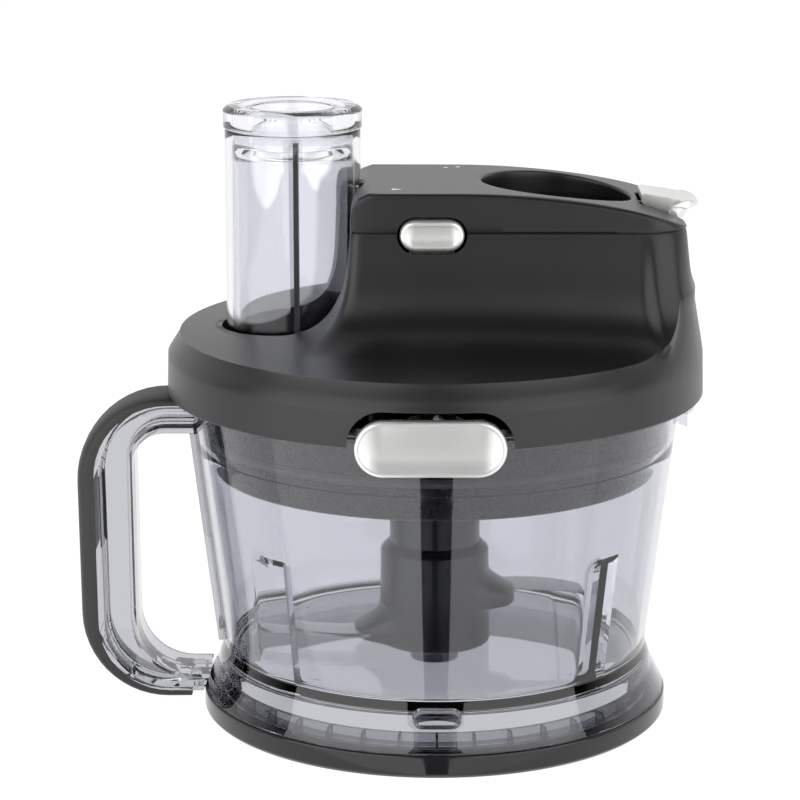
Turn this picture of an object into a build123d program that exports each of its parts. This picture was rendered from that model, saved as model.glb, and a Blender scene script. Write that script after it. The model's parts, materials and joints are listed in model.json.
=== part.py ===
"""Food-processor attachment for a stick blender: clear bowl, geared lid, pusher and blade.

Millimetres. +Z is up, the origin is on the bowl's axis at the worktop, the gear housing lies
towards +X, the handle towards -X and the front latch towards -Y.
"""
from build123d import *
from math import cos, radians, sin
import os

os.makedirs("parts", exist_ok=True)

# ---------------------------------------------------------------- driving dimensions
FOOT_RADIUS = 86.0
FOOT_HEIGHT = 8.4
SKIRT_TOP = 26.0
SKIRT_TOP_RADIUS = 78.3
WALL_SLOPE = 0.1225
BOWL_TOP = 124.0
FLOOR_TOP = 24.0
FLOOR_UNDERSIDE = 21.5
STEP_HEIGHT = 102.0
RIB_TOP = 72.0
RIB_WIDTH_DEG = 12.0
RIB_DEPTH = 3.4
TAB_WIDTH = 16.4
TAB_HEIGHT = 5.6
TAB_Z = 20.0
TAB_AZIMUTHS = (-90, 30, 150)
BASE_RIBS = 38

HANDLE_HALF_WIDTH = 12.0
HANDLE_OUTER_X = -132.3
HANDLE_CLEAR_X = -125.4
HANDLE_HOLE_X = -111.0

LID_RADIUS = 97.5
LID_BOTTOM = 121.0
LID_SHOULDER = 138.0
LID_WALL = 2.5
DRUM_RADIUS = 81.0
DRUM_BOTTOM = 92.0
PARTING = 184.0
HOUSING_TOP = 198.0
HOUSING_HALF = 35.0
HOUSING_END = 89.0
HOUSING_START = -30.5

SOCKET_X = 43.5
SOCKET_RADIUS = 27.0
SOCKET_WALL = 1.8
SOCKET_FLOOR = 163.0
SOCKET_LEDGE = 177.0
SOCKET_LEDGE_RADIUS = 24.0
TUBE_X = -51.6
TUBE_RADIUS = 24.5
TUBE_BORE = 22.4
TUBE_TOP = 216.5
TUBE_GAP = 1.8
PUSHER_RADIUS = 21.8
PUSHER_CUP_RADIUS = 14.6
PUSHER_TOP = 225.0
PUSHER_BOTTOM = 101.0

LATCH_WIDTH = 51.6
LATCH_X = -2.6
LATCH_ARM_X = 14.0
LATCH_THICK = 3.4
LATCH_HEIGHT = 19.4
LATCH_Z = 121.7
LATCH_FACE_Y = 98.9
RELEASE_WIDTH = 22.8
RELEASE_HEIGHT = 11.1
RELEASE_X = -1.6
RELEASE_Z = 183.3
LEVER_PIVOT_X = 84.6
LEVER_PIVOT_Z = 187.1
LEVER_WIDTH = 24.0

MODULE = 1.0
PINION_TEETH = 12
WHEEL_TEETH = 40
OUTPUT_TEETH = 36
LAY_X = 20.606
LAY_Y = 12.305
WHEEL_Z = 146.0
OUTPUT_GEAR_Z = 128.0
RUNNING = 0.05
PILLARS = ((-20, -24), (-20, 24), (62, -20), (62, 24))
PILLAR_RADIUS = 4.0
SCREW_RADIUS = 1.5
BRIDGE_Z = 158.0
BRIDGE_THICK = 3.0
PILLAR_FOOT = DRUM_BOTTOM + 2
AXLE_RADIUS = 2.0
INPUT_RADIUS = 3.0
INPUT_BUSH_RADIUS = 6.0
OUTPUT_RADIUS = 5.0
OUTPUT_BUSH_RADIUS = 8.0
COUPLING_RADIUS = 8.5
COUPLING_DOG = 5.2

STEM_RADIUS = 16.7
STEM_BOTTOM = 63.4
HUB_RADIUS = 20.0
HUB_TOP = 63.0
HUB_BOTTOM = 25.0
PIN_RADIUS = 3.0
SLEEVE_RADIUS = 5.0
BLADE_THICK = 1.6
UPPER_BLADE_Z = 44.5
LOWER_BLADE_Z = 29.5


def wall_radius(z):
    """Outer radius of the bowl's conical wall at height z."""
    return SKIRT_TOP_RADIUS + (z - SKIRT_TOP) * WALL_SLOPE


def ring_point(radius, degrees):
    """Plan position at a radius and an azimuth about the bowl's axis."""
    return (radius * cos(radians(degrees)), radius * sin(radians(degrees)))


def radial_plane(azimuth, radius, z):
    """Plane facing outwards from the bowl's axis, with its own Y axis up."""
    x, y = ring_point(radius, azimuth)
    return Plane(
        origin=(x, y, z),
        x_dir=(-sin(radians(azimuth)), cos(radians(azimuth)), 0),
        z_dir=(cos(radians(azimuth)), sin(radians(azimuth)), 0),
    )


def gear_outline(teeth, phase):
    """Corner points of a spur gear with straight-flanked teeth, one of them at the phase angle."""
    pitch = MODULE * teeth / 2
    root, tip = pitch - 1.15 * MODULE, pitch + 0.85 * MODULE
    points = []
    for tooth in range(teeth):
        middle = phase + tooth * 360 / teeth
        for radius, half in ((root, 0.36), (pitch, 0.215), (tip, 0.11), (tip, -0.11), (pitch, -0.215), (root, -0.36)):
            points.append(ring_point(radius, middle - half * 360 / teeth))
    return points


# ---------------------------------------------------------------- bowl and foot
with BuildPart() as bowl:
    with BuildSketch(Plane.XZ):
        with BuildLine():
            Polyline((PIN_RADIUS, 16), (9, 16), (9, FLOOR_UNDERSIDE), (77.4, FLOOR_UNDERSIDE))
            ThreePointArc((77.4, FLOOR_UNDERSIDE), (80.0, 14.6), (83.7, FOOT_HEIGHT))
            Line((83.7, FOOT_HEIGHT), (85.8, FOOT_HEIGHT))
            ThreePointArc((85.8, FOOT_HEIGHT), (81.5, 17.2), (SKIRT_TOP_RADIUS, SKIRT_TOP))
            Polyline(
                (SKIRT_TOP_RADIUS, SKIRT_TOP),
                (wall_radius(BOWL_TOP - 3), BOWL_TOP - 3),
                (92.6, BOWL_TOP - 2.4),
                (92.6, BOWL_TOP),
                (wall_radius(BOWL_TOP) - 1.8, BOWL_TOP),
                (wall_radius(STEP_HEIGHT) - 1.8, STEP_HEIGHT),
                (wall_radius(STEP_HEIGHT) - 2.8, STEP_HEIGHT),
                (wall_radius(FLOOR_TOP + 5) - 2.7, FLOOR_TOP + 5),
            )
            ThreePointArc((wall_radius(FLOOR_TOP + 5) - 2.7, FLOOR_TOP + 5), (74.5, FLOOR_TOP + 1.4), (71, FLOOR_TOP))
            Polyline((71, FLOOR_TOP), (9, FLOOR_TOP), (8, 30), (PIN_RADIUS, 30), (PIN_RADIUS, 16))
        make_face()
    revolve(axis=Axis.Z)
    for azimuth in (-136, -44, 44, 136):
        for z in (FLOOR_TOP - 0.5, RIB_TOP):
            with BuildSketch(Plane.XY.offset(z)):
                inner = wall_radius(z) - 2.7
                Polygon(
                    ring_point(inner + 1.2, azimuth - 7),
                    ring_point(inner - 0.2, azimuth - 7),
                    ring_point(inner - RIB_DEPTH, azimuth - 7 + RIB_WIDTH_DEG),
                    ring_point(inner + 1.2, azimuth - 7 + RIB_WIDTH_DEG),
                    align=None,
                )
        loft(ruled=True)
    for azimuth in TAB_AZIMUTHS:
        with BuildSketch(radial_plane(azimuth, 90, TAB_Z)):
            SlotOverall(TAB_WIDTH + 0.8, TAB_HEIGHT + 0.8)
        extrude(amount=-12.7, mode=Mode.SUBTRACT)
    with BuildSketch(Plane.XZ.offset(1.0)):
        with Locations((92.2, 114)):
            Circle(3.2)
    extrude(amount=-2.0)
    with BuildSketch(Plane.XZ.offset(6.0)):
        with BuildLine():
            Polyline((92.4, 107), (92.4, 121.6), (89.6, 121.6), (88.0, 112))
            ThreePointArc((88.0, 112), (89.2, 108.2), (92.4, 107))
        make_face()
    extrude(amount=-2.0)
bowl.part.label = "bowl"
export_step(bowl.part, "parts/bowl.step")

with BuildPart() as bowl_envelope:
    with BuildSketch(Plane.XZ):
        with BuildLine():
            Polyline((0, 0), (FOOT_RADIUS, 0), (FOOT_RADIUS, FOOT_HEIGHT), (85.8, FOOT_HEIGHT))
            ThreePointArc((85.8, FOOT_HEIGHT), (81.5, 17.2), (SKIRT_TOP_RADIUS, SKIRT_TOP))
            Polyline((SKIRT_TOP_RADIUS, SKIRT_TOP), (wall_radius(BOWL_TOP), BOWL_TOP), (0, BOWL_TOP), (0, 0))
        make_face()
    revolve(axis=Axis.Z)

with BuildPart() as base_ring:
    with BuildSketch(Plane.XZ):
        with BuildLine():
            Polyline(
                (72, 7.4),
                (83.4, 7.4),
                (83.4, 8.2),
                (82.8, 8.8),
                (77.5, 8.8),
                (77.5, 14),
                (76, 14),
                (76, 8.8),
                (72, 8.8),
                (72, 7.4),
            )
        make_face()
    revolve(axis=Axis.Z)
    with BuildSketch(Plane.XZ.offset(-0.45)):
        Polygon((77, 8.3), (82.6, 8.3), (79.9, 13.8), (77, 13.8), align=None)
    base_rib = extrude(amount=0.9, mode=Mode.PRIVATE)
    with PolarLocations(0, BASE_RIBS, start_angle=-90):
        add(base_rib)
    for azimuth in TAB_AZIMUTHS:
        with BuildSketch(radial_plane(azimuth, 78.6, TAB_Z)):
            SlotOverall(TAB_WIDTH, TAB_HEIGHT)
        extrude(amount=2.9)
        with BuildSketch(radial_plane(azimuth, 74.0, 14.0)):
            Rectangle(12, 12.6)
        extrude(amount=2.6)
        with BuildSketch(radial_plane(azimuth, 75.6, 19.2)):
            Rectangle(12, 2.6)
        extrude(amount=3.2)
base_ring.part.label = "base_ring"
export_step(base_ring.part, "parts/base_ring.step")

with BuildPart() as foot_ring:
    with BuildSketch(Plane.XZ):
        with BuildLine():
            Polyline(
                (78, 0),
                (FOOT_RADIUS - 1, 0),
                (FOOT_RADIUS, 1.2),
                (FOOT_RADIUS, FOOT_HEIGHT),
                (83.5, FOOT_HEIGHT),
                (83.5, 7.4),
                (78, 7.4),
                (78, 0),
            )
        make_face()
    revolve(axis=Axis.Z)
foot_ring.part.label = "foot_ring"
export_step(foot_ring.part, "parts/foot_ring.step")

with BuildPart() as spindle_pin:
    with BuildSketch(Plane.XY.offset(16)):
        Circle(PIN_RADIUS)
    extrude(amount=38)
    chamfer(spindle_pin.edges().sort_by(Axis.Z)[-1], 0.8)
spindle_pin.part.label = "spindle_pin"
export_step(spindle_pin.part, "parts/spindle_pin.step")

# ---------------------------------------------------------------- handle
with BuildSketch(Plane.XZ) as finger_hole:
    with BuildLine():
        FilletPolyline(
            (HANDLE_HOLE_X, 106),
            (-90.9, 106),
            (-81.2, 27),
            (-86.0, 14),
            (HANDLE_HOLE_X + 0.8, 14),
            radius=(11, 8, 2, 2, 20),
            close=True,
        )
    make_face()

with BuildPart() as bowl_handle:
    with BuildSketch(Plane.XZ):
        with BuildLine():
            handle_path = FilletPolyline(
                (-70, 116.3),
                (HANDLE_CLEAR_X, 116.3),
                (HANDLE_CLEAR_X + 1.2, 7.6),
                (-70, 7.6),
                radius=(27, 26),
            )
            Line(handle_path @ 1, handle_path @ 0)
        make_face()
        add(finger_hole.sketch, mode=Mode.SUBTRACT)
    extrude(amount=HANDLE_HALF_WIDTH, both=True)
    with BuildSketch(Plane.XZ.offset(1.6)) as channel_face:
        with BuildLine():
            channel_outer = FilletPolyline(
                (-89.5, 113.8),
                (HANDLE_CLEAR_X + 2.2, 113.8),
                (HANDLE_CLEAR_X + 3.4, 10.0),
                (-89.5, 10.0),
                radius=(25, 24),
            )
            channel_inner = FilletPolyline(
                (-89.5, 11.6),
                (HANDLE_HOLE_X - 1.6, 11.6),
                (HANDLE_HOLE_X - 2.4, 108.4),
                (-89.5, 108.4),
                radius=(22, 16),
            )
            Line(channel_outer @ 1, channel_inner @ 0)
            Line(channel_inner @ 1, channel_outer @ 0)
        make_face()
    channel = extrude(amount=20, mode=Mode.SUBTRACT)
    mirror(channel, about=Plane.XZ, mode=Mode.SUBTRACT)
    add(bowl_envelope.part, mode=Mode.SUBTRACT)
bowl_handle.part.label = "bowl_handle"
export_step(bowl_handle.part, "parts/bowl_handle.step")

with BuildPart() as handle_grip:
    with BuildSketch(Plane.XZ):
        with BuildLine():
            grip_outer = FilletPolyline(
                (-89.0, 120.0),
                (HANDLE_OUTER_X, 120.0),
                (HANDLE_OUTER_X + 1.4, 4.0),
                (-92.0, 4.0),
                radius=(33, 32),
            )
            grip_inner = FilletPolyline(
                (-92.0, 7.6),
                (HANDLE_CLEAR_X + 1.2, 7.6),
                (HANDLE_CLEAR_X, 116.3),
                (-89.0, 116.3),
                radius=(26, 27),
            )
            Line(grip_outer @ 1, grip_inner @ 0)
            Line(grip_inner @ 1, grip_outer @ 0)
        make_face()
    extrude(amount=HANDLE_HALF_WIDTH, both=True)
    add(bowl_envelope.part, mode=Mode.SUBTRACT)
handle_grip.part.label = "handle_grip"
export_step(handle_grip.part, "parts/handle_grip.step")

# ---------------------------------------------------------------- lid shells
HOUSING_SECTIONS = (
    # height, half width in Y, right end in X, right corner radius, left end in X
    (143.0, 50.0, 95.6, 40.0, -36.0),
    (150.0, 42.5, 94.4, 30.0, -32.4),
    (160.0, 38.2, 92.7, 22.0, -31.0),
    (PARTING, HOUSING_HALF, HOUSING_END, 14.0, HOUSING_START),
)


def housing_outline(half, right, corner, left):
    """Plan outline of the gear housing: square left corners and round right ones."""
    with BuildSketch(Plane.XY) as outline:
        with BuildLine():
            Polyline((right, corner - half), (right, half - corner))
            RadiusArc((right, half - corner), (right - corner, half), -corner)
            Polyline((right - corner, half), (left, half), (left, -half), (right - corner, -half))
            RadiusArc((right - corner, -half), (right, corner - half), -corner)
        make_face()
    return outline.sketch


def cover_shape(wall):
    """Lid cover as one solid, set in by the wall: a shallow domed drum with the housing flaring up from it."""
    with BuildPart() as shape:
        with BuildSketch(Plane.XZ):
            with BuildLine():
                Polyline((0, LID_BOTTOM), (LID_RADIUS + 0.4 - wall, LID_BOTTOM), (LID_RADIUS - wall, LID_SHOULDER - 1))
                ThreePointArc(
                    (LID_RADIUS - wall, LID_SHOULDER - 1),
                    (LID_RADIUS - 1.9 - wall, LID_SHOULDER + 3.1 - wall / 2),
                    (LID_RADIUS - 7 - wall, LID_SHOULDER + 5.6 - wall),
                )
                ThreePointArc(
                    (LID_RADIUS - 7 - wall, LID_SHOULDER + 5.6 - wall),
                    (50, LID_SHOULDER + 8.2 - wall),
                    (0, LID_SHOULDER + 9.2 - wall),
                )
                Line((0, LID_SHOULDER + 9.2 - wall), (0, LID_BOTTOM))
            make_face()
        revolve(axis=Axis.Z)
        for z, half, right, corner, left in HOUSING_SECTIONS:
            with BuildSketch(Plane.XY.offset(z - (wall if z < PARTING else 0))):
                add(housing_outline(half - wall, right - wall, corner - wall / 2, left + wall))
        loft()
        with BuildSketch(Plane.XY.offset(LID_BOTTOM)):
            with Locations((TUBE_X, 0)):
                Circle(TUBE_RADIUS + TUBE_GAP + wall)
        extrude(amount=80, mode=Mode.SUBTRACT)
    return shape.part


def top_profile(drop):
    """Side outline of the top cover, lowered by the drop: flat, then falling away to the right end."""
    with BuildSketch(Plane.XZ) as outline:
        with BuildLine():
            Polyline((110, 160), (-60, 160), (-60, 190), (HOUSING_START + drop, 190 - drop))
            RadiusArc((HOUSING_START + drop, 190 - drop), (HOUSING_START + 8, HOUSING_TOP - drop), 8 - drop)
            Line((HOUSING_START + 8, HOUSING_TOP - drop), (8, HOUSING_TOP - drop))
            ThreePointArc((8, HOUSING_TOP - drop), (38, HOUSING_TOP - 1.4 - drop), (66, HOUSING_TOP - 5.0 - drop))
            ThreePointArc((66, HOUSING_TOP - 5.0 - drop), (79, 189.3 - drop), (90, 184.2 - drop))
            Polyline((90, 184.2 - drop), (110, 178 - drop), (110, 160))
        make_face()
    return outline.sketch


outer_cover = cover_shape(0)
inner_cover = cover_shape(LID_WALL)

with BuildPart() as lid_cover:
    add(outer_cover)
    add(inner_cover, mode=Mode.SUBTRACT)
    for side in (-1, 1):
        with BuildSketch(Plane(origin=(0, side * 100, LATCH_Z), x_dir=(1, 0, 0), z_dir=(0, -side, 0))):
            with Locations((LATCH_X, 0)):
                SlotOverall(LATCH_WIDTH + 5.4, LATCH_HEIGHT + 5.4)
        extrude(amount=12, mode=Mode.SUBTRACT)
        with BuildSketch(Plane(origin=(RELEASE_X, side * 45, RELEASE_Z), x_dir=(1, 0, 0), z_dir=(0, -side, 0))):
            SlotOverall(RELEASE_WIDTH + 2.0, RELEASE_HEIGHT + 2.0)
        extrude(amount=16, mode=Mode.SUBTRACT)
    with Locations((HOUSING_END, 0, 184)):
        Box(12, LEVER_WIDTH + 0.8, 9, mode=Mode.SUBTRACT)
lid_cover.part.label = "lid_cover"
export_step(lid_cover.part, "parts/lid_cover.step")

with BuildPart() as top_hollow:
    with BuildSketch(Plane.XY.offset(PARTING - 1)):
        add(housing_outline(HOUSING_HALF - 2.2, HOUSING_END - 2.2, 12.0, HOUSING_START + 2.2))
        with Locations((TUBE_X, 0)):
            Circle(TUBE_RADIUS + TUBE_GAP + 2.2, mode=Mode.SUBTRACT)
    extrude(amount=20)
    with BuildSketch(Plane.XZ.offset(60)):
        add(top_profile(2.2))
    extrude(amount=-120, mode=Mode.INTERSECT)

with BuildPart() as top_block:
    with BuildSketch(Plane.XY.offset(PARTING)):
        add(housing_outline(HOUSING_HALF, HOUSING_END, 14.0, HOUSING_START))
        with Locations((TUBE_X, 0)):
            Circle(TUBE_RADIUS + TUBE_GAP, mode=Mode.SUBTRACT)
    extrude(amount=20)
    with BuildSketch(Plane.XZ.offset(60)):
        add(top_profile(0))
    extrude(amount=-120, mode=Mode.INTERSECT)

with BuildPart() as top_fittings:
    with BuildSketch(Plane.XY.offset(PARTING + 4.6)):
        with Locations((SOCKET_X, 0)):
            Circle(SOCKET_RADIUS + 2.2)
    extrude(amount=14)
    with Locations((81, 0, PARTING + 8)):
        Box(17, LEVER_WIDTH + 5.2, 16)
    add(top_block.part, mode=Mode.INTERSECT)

with BuildPart() as top_cover:
    add(top_block.part)
    add(top_hollow.part, mode=Mode.SUBTRACT)
    add(top_fittings.part)
    with BuildSketch(Plane.XY.offset(PARTING)):
        with Locations((SOCKET_X, 0)):
            Circle(SOCKET_RADIUS)
    extrude(amount=20, mode=Mode.SUBTRACT)
    with Locations((84, 0, PARTING + 8)):
        Box(22.4, LEVER_WIDTH + 0.8, 18, mode=Mode.SUBTRACT)
    for side in (-1, 1):
        with BuildSketch(Plane(origin=(RELEASE_X, side * 45, RELEASE_Z), x_dir=(1, 0, 0), z_dir=(0, -side, 0))):
            SlotOverall(RELEASE_WIDTH + 2.0, RELEASE_HEIGHT + 2.0)
        extrude(amount=14, mode=Mode.SUBTRACT)
    with BuildSketch(Plane.XZ):
        with Locations((LEVER_PIVOT_X, LEVER_PIVOT_Z)):
            Circle(1.5)
    extrude(amount=20, both=True, mode=Mode.SUBTRACT)
top_cover.part.label = "top_cover"
export_step(top_cover.part, "parts/top_cover.step")

with BuildPart() as lever_pin:
    with BuildSketch(Plane.XZ):
        with Locations((LEVER_PIVOT_X, LEVER_PIVOT_Z)):
            Circle(1.5)
    extrude(amount=LEVER_WIDTH / 2 + 2.4, both=True)
lever_pin.part.label = "lever_pin"
export_step(lever_pin.part, "parts/lever_pin.step")

# ---------------------------------------------------------------- gear tray, seal and feed tube
with BuildPart() as gear_tray:
    with BuildSketch(Plane.XZ):
        Polygon(
            (8, DRUM_BOTTOM),
            (DRUM_RADIUS, DRUM_BOTTOM),
            (DRUM_RADIUS, 104),
            (85.3, 104),
            (85.3, 105),
            (83.6, 105),
            (83.6, 108),
            (85.3, 108),
            (85.3, BOWL_TOP + 0.4),
            (92.6, BOWL_TOP + 0.4),
            (92.6, BOWL_TOP + 3),
            (81.6, BOWL_TOP + 3),
            (81.6, 106),
            (DRUM_RADIUS - 2, 106),
            (DRUM_RADIUS - 2, DRUM_BOTTOM + 2),
            (11, DRUM_BOTTOM + 2),
            (11, 108),
            (8, 108),
            align=None,
        )
    revolve(axis=Axis.Z)
    with BuildSketch(Plane.XY.offset(DRUM_BOTTOM)):
        with Locations((LAY_X, LAY_Y)):
            Circle(5)
    extrude(amount=32)
    with BuildSketch(Plane.XY.offset(PILLAR_FOOT)):
        with Locations((LAY_X, LAY_Y)):
            Circle(AXLE_RADIUS)
    extrude(amount=32, mode=Mode.SUBTRACT)
    with BuildSketch(Plane.XY.offset(DRUM_BOTTOM - 1)):
        with Locations((TUBE_X, 0)):
            Circle(TUBE_RADIUS)
    extrude(amount=20, mode=Mode.SUBTRACT)
    for side in (-1, 1):
        with Locations((0, side * 84.9, 129)):
            Box(12, 4.6, 8)
gear_tray.part.label = "gear_tray"
export_step(gear_tray.part, "parts/gear_tray.step")

with BuildPart() as lid_seal:
    with BuildSketch(Plane.XZ):
        Polygon((83.6, 105), (85.3, 105), (85.9, 106.0), (85.9, 107), (85.3, 108), (83.6, 108), align=None)
    revolve(axis=Axis.Z)
lid_seal.part.label = "lid_seal"
export_step(lid_seal.part, "parts/lid_seal.step")

with BuildPart() as feed_tube:
    with BuildSketch(Plane.XY.offset(DRUM_BOTTOM)):
        with Locations((TUBE_X, 0)):
            Circle(TUBE_RADIUS)
            Circle(TUBE_BORE, mode=Mode.SUBTRACT)
    extrude(amount=TUBE_TOP - DRUM_BOTTOM)
    with BuildSketch(Plane.XY.offset(DRUM_BOTTOM + 2)):
        with Locations((TUBE_X, 0)):
            Circle(TUBE_RADIUS + 1.2)
            Circle(TUBE_BORE, mode=Mode.SUBTRACT)
    extrude(amount=2)
    fillet(feed_tube.edges().group_by(Axis.Z)[-1], 0.8)
feed_tube.part.label = "feed_tube"
export_step(feed_tube.part, "parts/feed_tube.step")

with BuildPart() as pusher:
    with BuildSketch(Plane.XZ):
        with Locations((TUBE_X, 0)):
            Polygon(
                (0, PUSHER_BOTTOM),
                (PUSHER_RADIUS - 2, PUSHER_BOTTOM),
                (PUSHER_RADIUS, PUSHER_BOTTOM + 2),
                (PUSHER_RADIUS, TUBE_TOP + 0.3),
                (TUBE_RADIUS + 0.5, TUBE_TOP + 0.3),
                (TUBE_RADIUS + 0.7, PUSHER_TOP - 1.5),
                (TUBE_RADIUS - 1.5, PUSHER_TOP),
                (PUSHER_CUP_RADIUS + 4.6, PUSHER_TOP),
                (PUSHER_CUP_RADIUS + 3.8, PUSHER_TOP - 1.6),
                (PUSHER_CUP_RADIUS + 1.6, PUSHER_TOP - 1.6),
                (PUSHER_CUP_RADIUS + 1.0, PUSHER_TOP - 0.6),
                (PUSHER_CUP_RADIUS, PUSHER_TOP - 0.6),
                (PUSHER_CUP_RADIUS, PUSHER_TOP - 14),
                (PUSHER_RADIUS - 2, PUSHER_TOP - 18),
                (PUSHER_RADIUS - 2, PUSHER_BOTTOM + 3),
                (0, PUSHER_BOTTOM + 3),
                align=None,
            )
    revolve(axis=Axis((TUBE_X, 0, 0), (0, 0, 1)))
pusher.part.label = "pusher"
export_step(pusher.part, "parts/pusher.step")

# ---------------------------------------------------------------- gear bridge and motor socket
with BuildPart() as gear_bridge:
    with BuildSketch(Plane.XY.offset(BRIDGE_Z)):
        with Locations((22, 0)):
            RectangleRounded(96, 58, 8)
        with Locations((TUBE_X, 0)):
            Circle(TUBE_RADIUS + TUBE_GAP + LID_WALL + 0.6, mode=Mode.SUBTRACT)
    extrude(amount=BRIDGE_THICK)
    with BuildSketch(Plane.XY.offset(PILLAR_FOOT)):
        with Locations(*PILLARS):
            Circle(PILLAR_RADIUS)
    extrude(amount=BRIDGE_Z - PILLAR_FOOT)
    with BuildSketch(Plane.XY.offset(BRIDGE_Z - 14)):
        with Locations(*PILLARS):
            Circle(SCREW_RADIUS)
    extrude(amount=18, mode=Mode.SUBTRACT)
    with BuildSketch(Plane.XY.offset(BRIDGE_Z - 1)):
        with Locations((SOCKET_X, 0)):
            Circle(INPUT_BUSH_RADIUS)
        with Locations((LAY_X, LAY_Y)):
            Circle(AXLE_RADIUS)
    extrude(amount=5, mode=Mode.SUBTRACT)
    for side in (-1, 1):
        with Locations((RELEASE_X, side * 23.5, 174.5)):
            Box(16, 2, 29)
gear_bridge.part.label = "gear_bridge"
export_step(gear_bridge.part, "parts/gear_bridge.step")

with BuildPart() as bridge_screws:
    with BuildSketch(Plane.XY.offset(BRIDGE_Z - 10)):
        with Locations(*PILLARS):
            Circle(SCREW_RADIUS)
    extrude(amount=10 + BRIDGE_THICK)
    with BuildSketch(Plane.XY.offset(BRIDGE_Z + BRIDGE_THICK)):
        with Locations(*PILLARS):
            Circle(2 * SCREW_RADIUS)
            RegularPolygon(1.4, 6, mode=Mode.SUBTRACT)
    extrude(amount=1.8)
bridge_screws.part.label = "bridge_screws"
export_step(bridge_screws.part, "parts/bridge_screws.step")

with BuildPart() as socket_liner:
    with BuildSketch(Plane.XY.offset(SOCKET_FLOOR)):
        with Locations((SOCKET_X, 0)):
            Circle(SOCKET_RADIUS + SOCKET_WALL)
    extrude(amount=PARTING + 4.6 - SOCKET_FLOOR)
    # The motor body slides in to a ledge; the narrower well below it leaves room for the coupling.
    with BuildSketch(Plane.XY.offset(SOCKET_LEDGE)):
        with Locations((SOCKET_X, 0)):
            Circle(SOCKET_RADIUS)
    extrude(amount=PARTING + 5 - SOCKET_LEDGE, mode=Mode.SUBTRACT)
    with BuildSketch(Plane.XY.offset(SOCKET_FLOOR + SOCKET_WALL)):
        with Locations((SOCKET_X, 0)):
            Circle(SOCKET_LEDGE_RADIUS)
    extrude(amount=SOCKET_LEDGE - SOCKET_FLOOR, mode=Mode.SUBTRACT)
    with BuildSketch(Plane.XY.offset(SOCKET_FLOOR)):
        with Locations((SOCKET_X, 0)):
            Circle(10)
    extrude(amount=4, mode=Mode.SUBTRACT)
    with Locations((84.2, 0, PARTING - 2)):
        Box(24, LEVER_WIDTH + 2, 20, mode=Mode.SUBTRACT)
socket_liner.part.label = "socket_liner"
export_step(socket_liner.part, "parts/socket_liner.step")


# ---------------------------------------------------------------- gear train
def bush(x, y, low, high, bore, outer):
    """Plain cylinder sleeve standing at a plan position."""
    with BuildPart() as sleeve:
        with BuildSketch(Plane.XY.offset(low)):
            with Locations((x, y)):
                Circle(outer)
                Circle(bore, mode=Mode.SUBTRACT)
        extrude(amount=high - low)
    return sleeve.part


def gear(x, y, teeth, phase, low, high, bore):
    """Spur gear standing at a plan position, with a plain bore."""
    with BuildPart() as wheel:
        with BuildSketch(Plane.XY.offset(low)):
            with Locations((x, y)):
                Polygon(*gear_outline(teeth, phase), align=None)
                Circle(bore, mode=Mode.SUBTRACT)
        extrude(amount=high - low)
    return wheel.part


LAY_AZIMUTH = 30.843
INPUT_AZIMUTH = -28.258
HALF_PINION_PITCH = 180 / PINION_TEETH

with BuildPart() as output_gear:
    add(gear(0, 0, OUTPUT_TEETH, LAY_AZIMUTH, OUTPUT_GEAR_Z, 143, OUTPUT_RADIUS))
output_gear.part.label = "output_gear"
export_step(output_gear.part, "parts/output_gear.step")

with BuildPart() as lay_pinion:
    add(gear(LAY_X, LAY_Y, PINION_TEETH, LAY_AZIMUTH + 180 + HALF_PINION_PITCH, 126.0, WHEEL_Z, AXLE_RADIUS + RUNNING))
lay_pinion.part.label = "lay_pinion"
export_step(lay_pinion.part, "parts/lay_pinion.step")

with BuildPart() as lay_wheel:
    add(gear(LAY_X, LAY_Y, WHEEL_TEETH, INPUT_AZIMUTH, WHEEL_Z, WHEEL_Z + 10, AXLE_RADIUS + RUNNING))
lay_wheel.part.label = "lay_wheel"
export_step(lay_wheel.part, "parts/lay_wheel.step")

with BuildPart() as input_pinion:
    add(gear(SOCKET_X, 0, PINION_TEETH, INPUT_AZIMUTH + 180 + HALF_PINION_PITCH, WHEEL_Z - 1, WHEEL_Z + 11, INPUT_RADIUS))
input_pinion.part.label = "input_pinion"
export_step(input_pinion.part, "parts/input_pinion.step")

with BuildPart() as lay_axle:
    with BuildSketch(Plane.XY.offset(DRUM_BOTTOM + 2)):
        with Locations((LAY_X, LAY_Y)):
            Circle(AXLE_RADIUS)
    extrude(amount=BRIDGE_Z + BRIDGE_THICK - PILLAR_FOOT)
lay_axle.part.label = "lay_axle"
export_step(lay_axle.part, "parts/lay_axle.step")

with BuildPart() as input_shaft:
    with BuildSketch(Plane.XY.offset(WHEEL_Z - 2)):
        with Locations((SOCKET_X, 0)):
            Circle(INPUT_RADIUS)
    extrude(amount=24)
input_shaft.part.label = "input_shaft"
export_step(input_shaft.part, "parts/input_shaft.step")

with BuildPart() as input_bearing:
    add(bush(SOCKET_X, 0, BRIDGE_Z - 0.5, BRIDGE_Z + 4, INPUT_RADIUS + RUNNING, INPUT_BUSH_RADIUS))
input_bearing.part.label = "input_bearing"
export_step(input_bearing.part, "parts/input_bearing.step")

with BuildPart() as drive_coupling:
    with BuildSketch(Plane.XY.offset(SOCKET_FLOOR)):
        with Locations((SOCKET_X, 0)):
            Circle(COUPLING_RADIUS)
            Circle(INPUT_RADIUS, mode=Mode.SUBTRACT)
    extrude(amount=5)
    with BuildSketch(Plane.XY.offset(SOCKET_FLOOR + 5)):
        with Locations((SOCKET_X, 0)):
            Circle(COUPLING_RADIUS)
            RegularPolygon(COUPLING_DOG, 6, mode=Mode.SUBTRACT)
    extrude(amount=8)
    chamfer(drive_coupling.edges().group_by(Axis.Z)[-1], 0.6)
drive_coupling.part.label = "drive_coupling"
export_step(drive_coupling.part, "parts/drive_coupling.step")

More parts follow.
